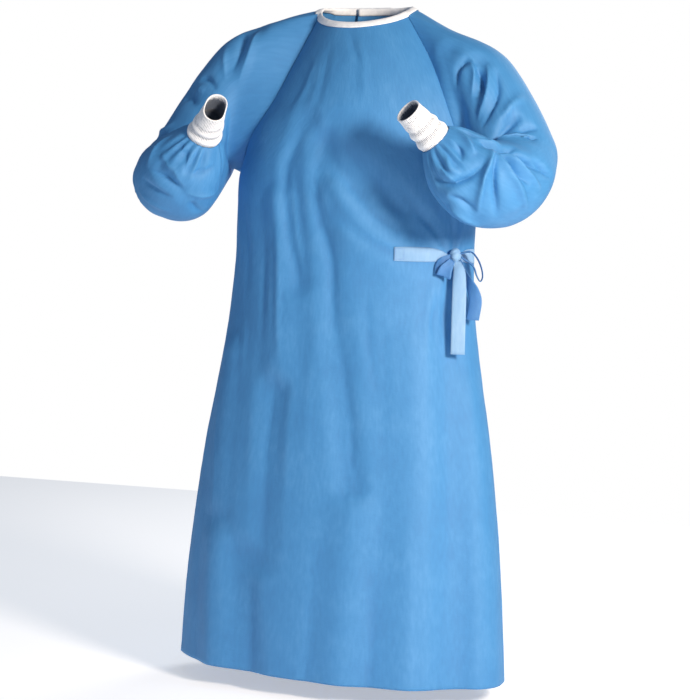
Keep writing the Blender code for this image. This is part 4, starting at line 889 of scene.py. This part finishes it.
def makeCuff(name, node, arm, sign):
    centre, axis, inner, side = armEnd(arm)
    keys = np.array(cuff["rows"])
    at = np.linspace(keys[0, 0], keys[-1, 0], cuff["steps"])
    radius = smoothThrough(keys[:, 0], keys[:, 1], at)
    half = cuff["wall"] / 2
    roll = np.linspace(0, math.pi, cuff["rim"] + 2)[1:-1]
    alongs = np.concatenate([at, at[-1] + half * 1.3 * np.sin(roll), at[::-1]])
    radii = np.concatenate([radius, radius[-1] - half + half * 1.3 * np.cos(roll), radius[::-1] - cuff["wall"]])
    count = cuff["ribs"] * cuff["pointsPerRib"]
    turn = np.arange(count) * 2 * math.pi / count
    ribs = cuff["ribHeight"] * np.cos(turn * cuff["ribs"])
    # the tube sits a little uneven: two soft creases run round it, deeper below
    sway = 0.0009 * np.sin(2 * turn + 0.6) + 0.0006 * np.sin(3 * turn + 2)
    drop, dropAt, stretch = cuff["drop"][name]
    shorter = stretch - drop / cuff["length"] * (0.5 + 0.5 * np.cos(turn - math.radians(dropAt)))
    rings = []
    for i, (along, r) in enumerate(zip(alongs, radii)):
        inward = -0.4 if i >= len(at) else 1.0
        pinch = (0.0011 * math.exp(-((along - 0.020) / 0.0035) ** 2)
                 + 0.0009 * math.exp(-((along - 0.041) / 0.004) ** 2))
        radial = r + ribs * inward + sway - pinch * (1 + 0.6 * np.sin(turn + 1))
        share = max(along / cuff["length"], 0)
        shift = along * shorter + 0.0016 * np.sin(turn + 0.8) * np.sin(math.pi * min(share, 1))
        flat, wideAt = cuff["flat"][name]
        pressed = 1 - flat * np.sin(turn - math.radians(wideAt)) ** 2 * share
        direction = np.outer(np.cos(turn), inner) + np.outer(np.sin(turn), side)
        rings.append(centre + axis * shift[:, None] + direction * (radial * pressed)[:, None])
    grid = np.array(rings) * sign
    if sign is mirror:
        grid = grid[:, ::-1]
    normals = ringNormals(grid)
    piece = makeShell(name, grid, normals, cuffKnit, True, ridgeScale=0.0004)
    piece.modifiers.remove(piece.modifiers[0])
    # the inner side is painted darker, as painted shade inside the tube
    ridge = piece.data.attributes["ridge"].data
    first = (len(at) + cuff["rim"]) * count
    for i in range(first, len(ridge)):
        ridge[i].value = ridge[i].value * 0.2 - 0.5 * min((i - first) / count / 9, 1)
    finishPiece(piece, "cuff_knit", node)


makeCuff("cuffLeft", "cuff_left", leftArm, 1)
makeCuff("cuffRight", "cuff_right", rightArm, mirror)
print("cuffs")

# Neck binding: a tape folded over the edge
binding = dict(width=0.0115, leaf=0.0008, gap=0.0006, stations=132, levels=5, cloth=0.0007)


def clothTree(pieces):
    points, faces = [], []
    for grid, closed in pieces:
        rows, columns = grid.shape[:2]
        start = len(points)
        points += grid.reshape(-1, 3).tolist()
        for i in range(rows - 1):
            for j in range(columns if closed else columns - 1):
                k = (j + 1) % columns
                faces.append((start + i * columns + j, start + i * columns + k,
                              start + (i + 1) * columns + k, start + (i + 1) * columns + j))
    return BVHTree.FromPolygons(points, faces)


def nearestCloth(tree, point, normal):
    place, facing = tree.find_nearest(Vector(point))[:2]
    facing = np.array(facing)
    return np.array(place), facing if facing @ normal > 0 else -facing


def evenly(line, normals, steps):
    lengths = np.concatenate([[0], np.cumsum(np.linalg.norm(np.diff(line, axis=0), axis=1))])
    at = np.linspace(0, lengths[-1], steps + 1)
    points = np.stack([np.interp(at, lengths, line[:, i]) for i in range(3)], axis=1)
    facing = unit(np.stack([np.interp(at, lengths, normals[:, i]) for i in range(3)], axis=1))
    return points, facing, unit(np.gradient(points, axis=0))


def neckEdges(grids):
    frontGrid, rightGrid, leftGrid, armLeftGrid, armRightGrid = grids
    half = frontGrid.shape[1] // 2
    top = 2 * gown["yokeRows"] + 1
    return (np.concatenate([rightGrid[-1], armRightGrid[0, top:] * mirror, frontGrid[-1, :half + 1]]),
            np.concatenate([frontGrid[-1, half:], armLeftGrid[0, top:][::-1], leftGrid[-1]]))


def makeBinding():
    top = gown["skirtRows"] + gown["yokeRows"] - 24
    near = [cloth[0][top:], cloth[1][top:], cloth[2][top:], cloth[3][:42], cloth[4][:42] * mirror]
    trees = (clothTree([(near[0], False), (near[1], False), (near[4], True)]),
             clothTree([(near[0], False), (near[2], False), (near[3], True)]))
    edges, normals = neckEdges(cloth), neckEdges(clothNormals)
    stationRows = []
    for half, tree in enumerate(trees):
        line = evenly(edges[half], normals[half], binding["stations"] // 2)
        for edge, normal, along in list(zip(*line))[half:]:
            down = unit(np.cross(along, normal))
            levels, facings = [edge], [normal]
            for _ in range(binding["levels"] - 1):
                lower = levels[-1] + down * binding["width"] / (binding["levels"] - 1)
                place, outward = nearestCloth(tree, lower, normal)
                levels.append(place)
                facings.append(unit(outward + normal * 0.4))
            stationRows.append((np.array(levels), np.array(facings), down))
    grid = []
    for i, (levels, facings, down) in enumerate(stationRows):
        pucker = 1 + 0.30 * math.sin(i * 0.9) * math.sin(i * 0.37)
        swell = np.sin(np.linspace(0.15, math.pi, binding["levels"])) * 0.0007 * pucker
        out = (binding["gap"] + binding["leaf"]) + swell
        back = (binding["cloth"] + binding["gap"] + binding["leaf"]) + swell
        lift = np.array([binding["gap"] + binding["leaf"]] + [0] * (binding["levels"] - 1))
        outer = levels + facings * out[:, None] - down * lift[:, None]
        inner = levels - facings * back[:, None] - down * lift[:, None]
        over = binding["gap"] + binding["leaf"] * 1.9
        crown = levels[0] + facings[0] * (binding["leaf"] * 0.2) - down * over
        grid.append(np.concatenate([outer[::-1], [crown], inner]))
    grid = np.array(grid).transpose(1, 0, 2)
    facing = gridNormals(grid)
    if facing[0, 40] @ stationRows[40][1][-1] < 0:
        grid = grid[::-1]
        facing = gridNormals(grid)
    piece = makeShell("neckBinding", grid, facing, neckTape, thickness=0.0006)
    finishPiece(piece, "neck_tape", "neck_binding")
    return stationRows


bindingStations = makeBinding()


def makeStitches(name, places, material, length, thick, slot):
    # short stitches as six-sided spindles: places holds a middle, a direction and the way out
    points, faces = [], []
    for middle, along, out in places:
        side = unit(np.cross(along, out))
        start = len(points)
        for share, swell in ((-0.5, 0.25), (-0.3, 1.0), (0.3, 1.0), (0.5, 0.25)):
            for k in range(6):
                angle = k * math.pi / 3
                ring = side * math.cos(angle) * thick + out * math.sin(angle) * thick * 0.6
                points.append(middle + along * length * share + ring * swell)
        for ring in range(3):
            for k in range(6):
                a, b = start + ring * 6 + k, start + ring * 6 + (k + 1) % 6
                faces.append((a, b, b + 6, a + 6))
        faces.append(tuple(start + k for k in range(5, -1, -1)))
        faces.append(tuple(start + 18 + k for k in range(6)))
    mesh = bpy.data.meshes.new(name)
    mesh.from_pydata([tuple(p) for p in points], [], faces)
    uvs = mesh.uv_layers.new(name="cloth").data
    for loop in mesh.loops:
        place = mesh.vertices[loop.vertex_index].co
        uvs[loop.index].uv = (place.x, place.z)
    mesh.materials.append(material)
    mesh.shade_smooth()
    piece = bpy.data.objects.new(name, mesh)
    bpy.context.scene.collection.objects.link(piece)
    finishPiece(piece, slot)


stitchRow = []
for i in range(1, len(bindingStations) - 1):
    levels, facings, down = bindingStations[i]
    along = unit(bindingStations[i + 1][0][3] - bindingStations[i - 1][0][3])
    stitchRow.append((levels[3] + facings[3] * 0.0021, along, facings[3]))
makeStitches("neckStitches", stitchRow, neckTape, 0.0027, 0.00035, "neck_tape")
print("neck binding")

# The waist tie, in shares across the panels, and its bow
tie = dict(
    width=0.025, cloth=0.0008, gap=0.0007, height=-0.449, bowColumn=0.856, bowTurn=20, knotOut=0.0122,
    knotSize=(0.0108, 0.0125, 0.0100),
    front=[(0.668, 0), (0.700, 0), (0.740, 0), (0.780, 0.03), (0.810, 0.25), (0.832, 0.5), (0.850, 0.62)],
    back=[("right", 0.130, 0), ("right", 0.0, 0), ("left", 0.1, 0), ("left", 0.0, 0), ("front", 0.965, 0),
          ("front", 0.930, 0.08), ("front", 0.900, 0.4), ("front", 0.880, 0.6), ("front", 0.862, 0.66)],
)
# each strip from the bow's middle, in the photograph's plane: right, up, towards, width, turn, tilt, curl
bowStrips = {
    "tieLoopFront": ("tie_loop_front", 0.082, [
        (-0.0080, -0.003, 0.002, 0.010, 0, -60, 0.0),
        (-0.0200, -0.011, 0.005, 0.019, 0, -32, 0.10),
        (-0.0240, -0.022, 0.005, 0.025, 0, -25, 0.12),
        (-0.0240, -0.033, 0.007, 0.026, 0, -18, 0.10),
        (-0.0220, -0.039, 0.011, 0.026, 0, -18, 0.05),
        (-0.0200, -0.036, 0.016, 0.026, 0, -22, 0.08),
        (-0.0160, -0.024, 0.017, 0.022, 0, -30, 0.10),
        (-0.0060, -0.009, 0.012, 0.012, 0, -35, 0.0),
    ]),
    "tieTailFront": ("tie_tail_front", 0.165, [
        (0.0030, -0.0100, 0.001, 0.011, 0, 0, 0.0),
        (0.0070, -0.028, 0.006, 0.021, 0, 0, 0.14),
        (0.0080, -0.060, 0.010, 0.0245, 0, 0, 0.08),
        (0.0080, -0.110, 0.014, 0.025, 0, 0, 0.04),
        (0.0080, -0.174, 0.018, 0.025, 0, 0, 0.03),
    ]),
    "tieLoopSide": ("tie_loop_side", 0.132, [
        (0.0080, 0.003, 0.000, 0.009, 90, 0, 0.0),
        (0.0270, 0.008, -0.002, 0.018, 90, 0, 0.08),
        (0.0400, -0.004, -0.004, 0.022, 90, 0, 0.08),
        (0.0480, -0.022, -0.006, 0.022, 90, 0, 0.06),
        (0.0500, -0.038, -0.006, 0.022, 90, 0, 0.04),
        (0.0450, -0.046, -0.006, 0.022, 90, 0, 0.04),
        (0.0380, -0.036, -0.006, 0.022, 90, 0, 0.06),
        (0.0300, -0.018, -0.004, 0.018, 90, 0, 0.08),
        (0.0090, -0.003, -0.001, 0.009, 90, 0, 0.0),
    ]),
    "tieTailSide": ("tie_tail_side", 0.115, [
        (0.0070, -0.0070, -0.002, 0.009, 60, 0, 0.0),
        (0.0210, -0.034, -0.004, 0.016, 60, 0, 0.12),
        (0.0320, -0.056, -0.006, 0.022, 30, 0, 0.10),
        (0.0380, -0.080, -0.006, 0.023, 10, 0, 0.08),
        (0.0340, -0.114, -0.006, 0.023, 10, 0, 0.04),
    ]),
}
stripShares = np.linspace(-0.5, 0.5, 9)


def makeLaidStrip(name, node, steps):
    # a tape sewn or lying flat on the panels, made from their points and moved out
    pieces = {"front": 0, "right": 1, "left": 2}
    rows = []
    for where, column, squeeze in steps:
        grid, normal = cloth[pieces[where]], clothNormals[pieces[where]]
        reach = tie["width"] * (1 - squeeze)
        lower = tie["height"] - 0.006 * squeeze
        rows.append(([pointAt(grid, column, rowOfHeight(lower + reach * s)) for s in stripShares],
                     [pointAt(normal, column, rowOfHeight(tie["height"] + reach * s)) for s in stripShares]))
    points, facings = np.array([r[0] for r in rows]), unit(np.array([r[1] for r in rows]))
    at = np.linspace(0, len(rows) - 1, 8 * (len(rows) - 1) + 1)
    knots = np.arange(len(rows))
    points, facings = smoothThrough(knots, points, at), unit(smoothThrough(knots, facings, at))
    squeeze = smoothThrough(knots, np.array([s for _, _, s in steps], float), at)
    ruffle = 0.0016 * squeeze[:, None] * np.cos(stripShares * 22)
    grid = points + facings * (tie["gap"] + tie["cloth"] + np.maximum(ruffle, 0))[..., None]
    grid = grid.transpose(1, 0, 2)
    facing = gridNormals(grid)
    if facing[4, 4] @ facings[4, 4] < 0:
        grid = grid[::-1]
        facing = gridNormals(grid)
    piece = makeShell(name, grid, facing, tieCloth, thickness=tie["cloth"], ridgeScale=0.0004)
    finishPiece(piece, "tie_cloth", node)
    return points, facings


def makeBowStrip(name, node, rows, bow):
    table = np.array(rows)
    at = np.linspace(0, len(table) - 1, 9 * (len(table) - 1) + 1)
    table = smoothThrough(np.arange(len(table)), table, at)
    turn = math.radians(tie["bowTurn"])
    rightWay = np.array((math.cos(turn), math.sin(turn), 0.0))
    towards = np.array((math.sin(turn), -math.cos(turn), 0.0))
    up = np.array((0.0, 0.0, 1.0))
    middles = bow + np.outer(table[:, 0], rightWay) + np.outer(table[:, 1], up) + np.outer(table[:, 2], towards)
    angle, tilt = np.radians(table[:, 4]), np.radians(table[:, 5])
    flat = np.outer(np.cos(angle), rightWay) + np.outer(np.sin(angle), towards)
    across = flat * np.cos(tilt)[:, None] + np.outer(np.sin(tilt), up)
    outward = unit(np.cross(np.gradient(middles, axis=0), across))
    width, curl = table[:, 3], table[:, 6]
    bend = (width * curl)[:, None] * (1 - (2 * stripShares) ** 2)
    pinch = np.where(width < 0.018, 0.0012, 0.0003)[:, None] * np.cos(stripShares * 25)
    grid = (middles[:, None] + across[:, None] * (width[:, None] * stripShares)[..., None]
            + outward[:, None] * (bend + pinch)[..., None])
    facing = gridNormals(grid)
    # the loops and the side tail take the darker copy of the tie cloth as painted shade
    stuff = tieCloth if name == "tieTailFront" else shadedTieCloth
    piece = makeShell(name, grid, facing, stuff, thickness=tie["cloth"], ridgeScale=0.0004)
    finishPiece(piece, "tie_cloth", node)


def makeKnot(bow, out):
    # the tape wraps round itself twice, with a tuck between the turns
    side = unit(np.cross((0.0, 0.0, 1.0), out))
    up = np.cross(out, side)
    rows, columns = 34, 56
    lean = np.linspace(0.03, math.pi - 0.03, rows)[:, None]
    turn = np.linspace(0, 2 * math.pi, columns, endpoint=False)[None]
    wraps = np.abs(np.sin(2.0 * lean + 0.8 * np.sin(turn + 0.6) + 0.4))
    swell = np.sin(lean) * (0.84 + 0.18 * wraps**0.6 + 0.04 * np.cos(3 * turn))
    sizeSide, sizeUp, sizeOut = tie["knotSize"]
    grid = (bow + up * (sizeUp * np.cos(lean) * np.ones_like(turn))[..., None]
            + side * (sizeSide * swell * np.cos(turn))[..., None]
            + out * (sizeOut * swell * np.sin(turn))[..., None])
    facing = ringNormals(grid)
    if facing[rows // 2, 0] @ side < 0:
        grid = grid[:, ::-1]
        facing = ringNormals(grid)
    piece = makeShell("tieKnot", grid, facing, tieCloth, True, ridgeScale=0.0005)
    finishPiece(piece, "tie_cloth", "tie_knot")


bowOut = unit(pointAt(clothNormals[0], tie["bowColumn"], rowOfHeight(tie["height"])))
bowMiddle = pointAt(cloth[0], tie["bowColumn"], rowOfHeight(tie["height"])) + bowOut * tie["knotOut"]
frontTie = makeLaidStrip("tieFront", "tie_front", [("front", c, s) for c, s in tie["front"]])
makeLaidStrip("tieBack", "tie_back", tie["back"])
makeKnot(bowMiddle, bowOut)
for name, (node, length, rows) in bowStrips.items():
    makeBowStrip(name, node, rows, bowMiddle)

# the front tie's end is sewn down with a small box of stitches
sewn = []
points, facings = frontTie
threadOut = 0.0024
for i in range(1, 7):
    for row in (1, 7):
        along = unit(points[i + 1, row] - points[i - 1, row])
        sewn.append((points[i, row] + facings[i, row] * threadOut, along, facings[i, row]))
for row in range(1, 8):
    for i in (1, 7):
        along = unit(points[i, row] - points[i, row - 1])
        sewn.append((points[i, row] + facings[i, row] * threadOut, along, facings[i, row]))
makeStitches("tieStitches", sewn, sewingThread, 0.0024, 0.0003, "tie_cloth")
print("waist tie")

# Fastener patches behind the neck, between the two backs
closure = dict(rows=(0.62, 1.5), right=(0.03, 0.24), left=(0.50, 0.71), thickness=0.0014,
               gap=0.0005, rowScale=5)


def makeClosure(name, node, index, columns, out):
    # rows are counted down from the neck edge, in the solid's coarser rows
    last = len(rowKnots) - 1
    high, low = (last - r * closure["rowScale"] for r in closure["rows"])
    columnShares, rowPlaces = np.linspace(*columns, 25), np.linspace(low, high, 13)
    grid = np.array([[pointAt(cloth[index], c, r) for c in columnShares] for r in rowPlaces])
    facing = unit(np.array([[pointAt(clothNormals[index], c, r) for c in columnShares] for r in rowPlaces]))
    tuft = 0.00015 * np.array([[math.sin(i * 2.6) * math.sin(j * 2.1) for i in range(25)] for j in range(13)])
    raised = grid + facing * (out + tuft)[..., None]
    piece = makeShell(name, raised, facing, fastenerTape, thickness=closure["thickness"])
    finishPiece(piece, "fastener", node)


makeClosure("neckHookStrip", "neck_hook_strip", 1, closure["right"], -gown["cloth"] - closure["gap"])
makeClosure("neckLoopStrip", "neck_loop_strip", 2, closure["left"], closure["gap"] + closure["thickness"])
print("fastener")

# Studio: pale floor, white surroundings, one strong soft light low on the right and weak ones elsewhere
studio = dict(floor="#f6f7f8", surroundings="#ffffff", shade="#cfe2ff", ambient=0.22, seen=1.0)
floorMesh = bpy.data.meshes.new("floor")
floorMesh.from_pydata([(-2.4, -2.4, 0), (2.4, -2.4, 0), (2.4, 2.4, 0), (-2.4, 2.4, 0)], [], [(0, 1, 2, 3)])
floor = bpy.data.objects.new("floor", floorMesh)
floor.location = (0, 0, cadLow[2] - 0.03)
bpy.context.scene.collection.objects.link(floor)
floorPaint, floorTree, floorShader = newMaterial("mattWhiteFloor")
floorShader.inputs["Base Color"].default_value = linear(studio["floor"])
floorShader.inputs["Roughness"].default_value = 0.9
floorShader.inputs["Emission Color"].default_value = linear("#ffffff")
floorShader.inputs["Emission Strength"].default_value = 0.44  # a white table lit from below
floorMesh.materials.append(floorPaint)

world = bpy.data.worlds.new("studio")
bpy.context.scene.world = world
world.use_nodes = True
worldTree = world.node_tree
backgroundNode = worldTree.nodes["Background"]
backgroundNode.inputs["Color"].default_value = linear(studio["shade"])
backgroundNode.inputs["Strength"].default_value = studio["ambient"]
seenNode = addNode(worldTree, "ShaderNodeBackground", {"Color": linear(studio["surroundings"]),
                                                       "Strength": studio["seen"]})
seenBy = addNode(worldTree, "ShaderNodeLightPath")
mixed = addNode(worldTree, "ShaderNodeMixShader", {0: seenBy.outputs["Is Camera Ray"],
                                                   1: backgroundNode.outputs[0], 2: seenNode.outputs[0]})
worldTree.links.new(mixed.outputs[0], worldTree.nodes["World Output"].inputs["Surface"])


def softLight(name, place, aim, size, power, colour):
    data = bpy.data.lights.new(name, "AREA")
    data.shape, data.size, data.energy, data.color = "DISK", size, power, linear(colour)[:3]
    light = bpy.data.objects.new(name, data)
    light.location = place
    light.rotation_euler = (Vector(aim) - Vector(place)).to_track_quat("-Z", "Y").to_euler()
    bpy.context.scene.collection.objects.link(light)


softLight("keyLight", (1.95, -1.5, 0.15), (0, 0, -0.36), 0.55, 72, "#fff0e0")
softLight("topLight", (0.3, -1.2, 2.0), (0, 0, -0.3), 1.0, 4, "#ffffff")
softLight("fillLight", (-2.0, -2.6, 0.2), (0, 0, -0.5), 2.0, 7, "#dfeaff")
softLight("backLight", (0.8, 2.8, 1.0), (0, 0, -0.5), 2.0, 44, "#ffffff")

# The photograph's view: turned to the wearer's left, a little above the waist
view = dict(azimuth=20, distance=3.6, eyeHeight=-0.45, aimHeight=-0.629, roll=1.6, aside=-0.02405,
            metresPerPixel=0.00185, frameHeight=700, sensor=36)
azimuth, roll = math.radians(view["azimuth"]), math.radians(view["roll"])
backWay = Vector((math.sin(azimuth), -math.cos(azimuth), 0))
sideWay = Vector((math.cos(azimuth), math.sin(azimuth), 0))
eye = backWay * view["distance"] + sideWay * view["aside"] + Vector((0, 0, view["eyeHeight"]))
aim = sideWay * view["aside"] + Vector((0, 0, view["aimHeight"]))
cameraData = bpy.data.cameras.new("camera")
cameraData.sensor_fit = "VERTICAL"
cameraData.sensor_height = view["sensor"]
cameraData.lens = view["distance"] / view["metresPerPixel"] * view["sensor"] / view["frameHeight"]
camera = bpy.data.objects.new("camera", cameraData)
facing = (aim - eye).normalized()
level = facing.cross(Vector((0, 0, 1))).normalized()
upright = level.cross(facing)
rightAxis = level * math.cos(roll) + upright * math.sin(roll)
upAxis = upright * math.cos(roll) - level * math.sin(roll)
camera.matrix_world = Matrix([(*column, 0) for column in (rightAxis, upAxis, -facing)] + [(*eye, 1)]).transposed()
bpy.context.scene.collection.objects.link(camera)
bpy.context.scene.camera = camera
bpy.context.scene.view_settings.view_transform = "Standard"
print("studio")
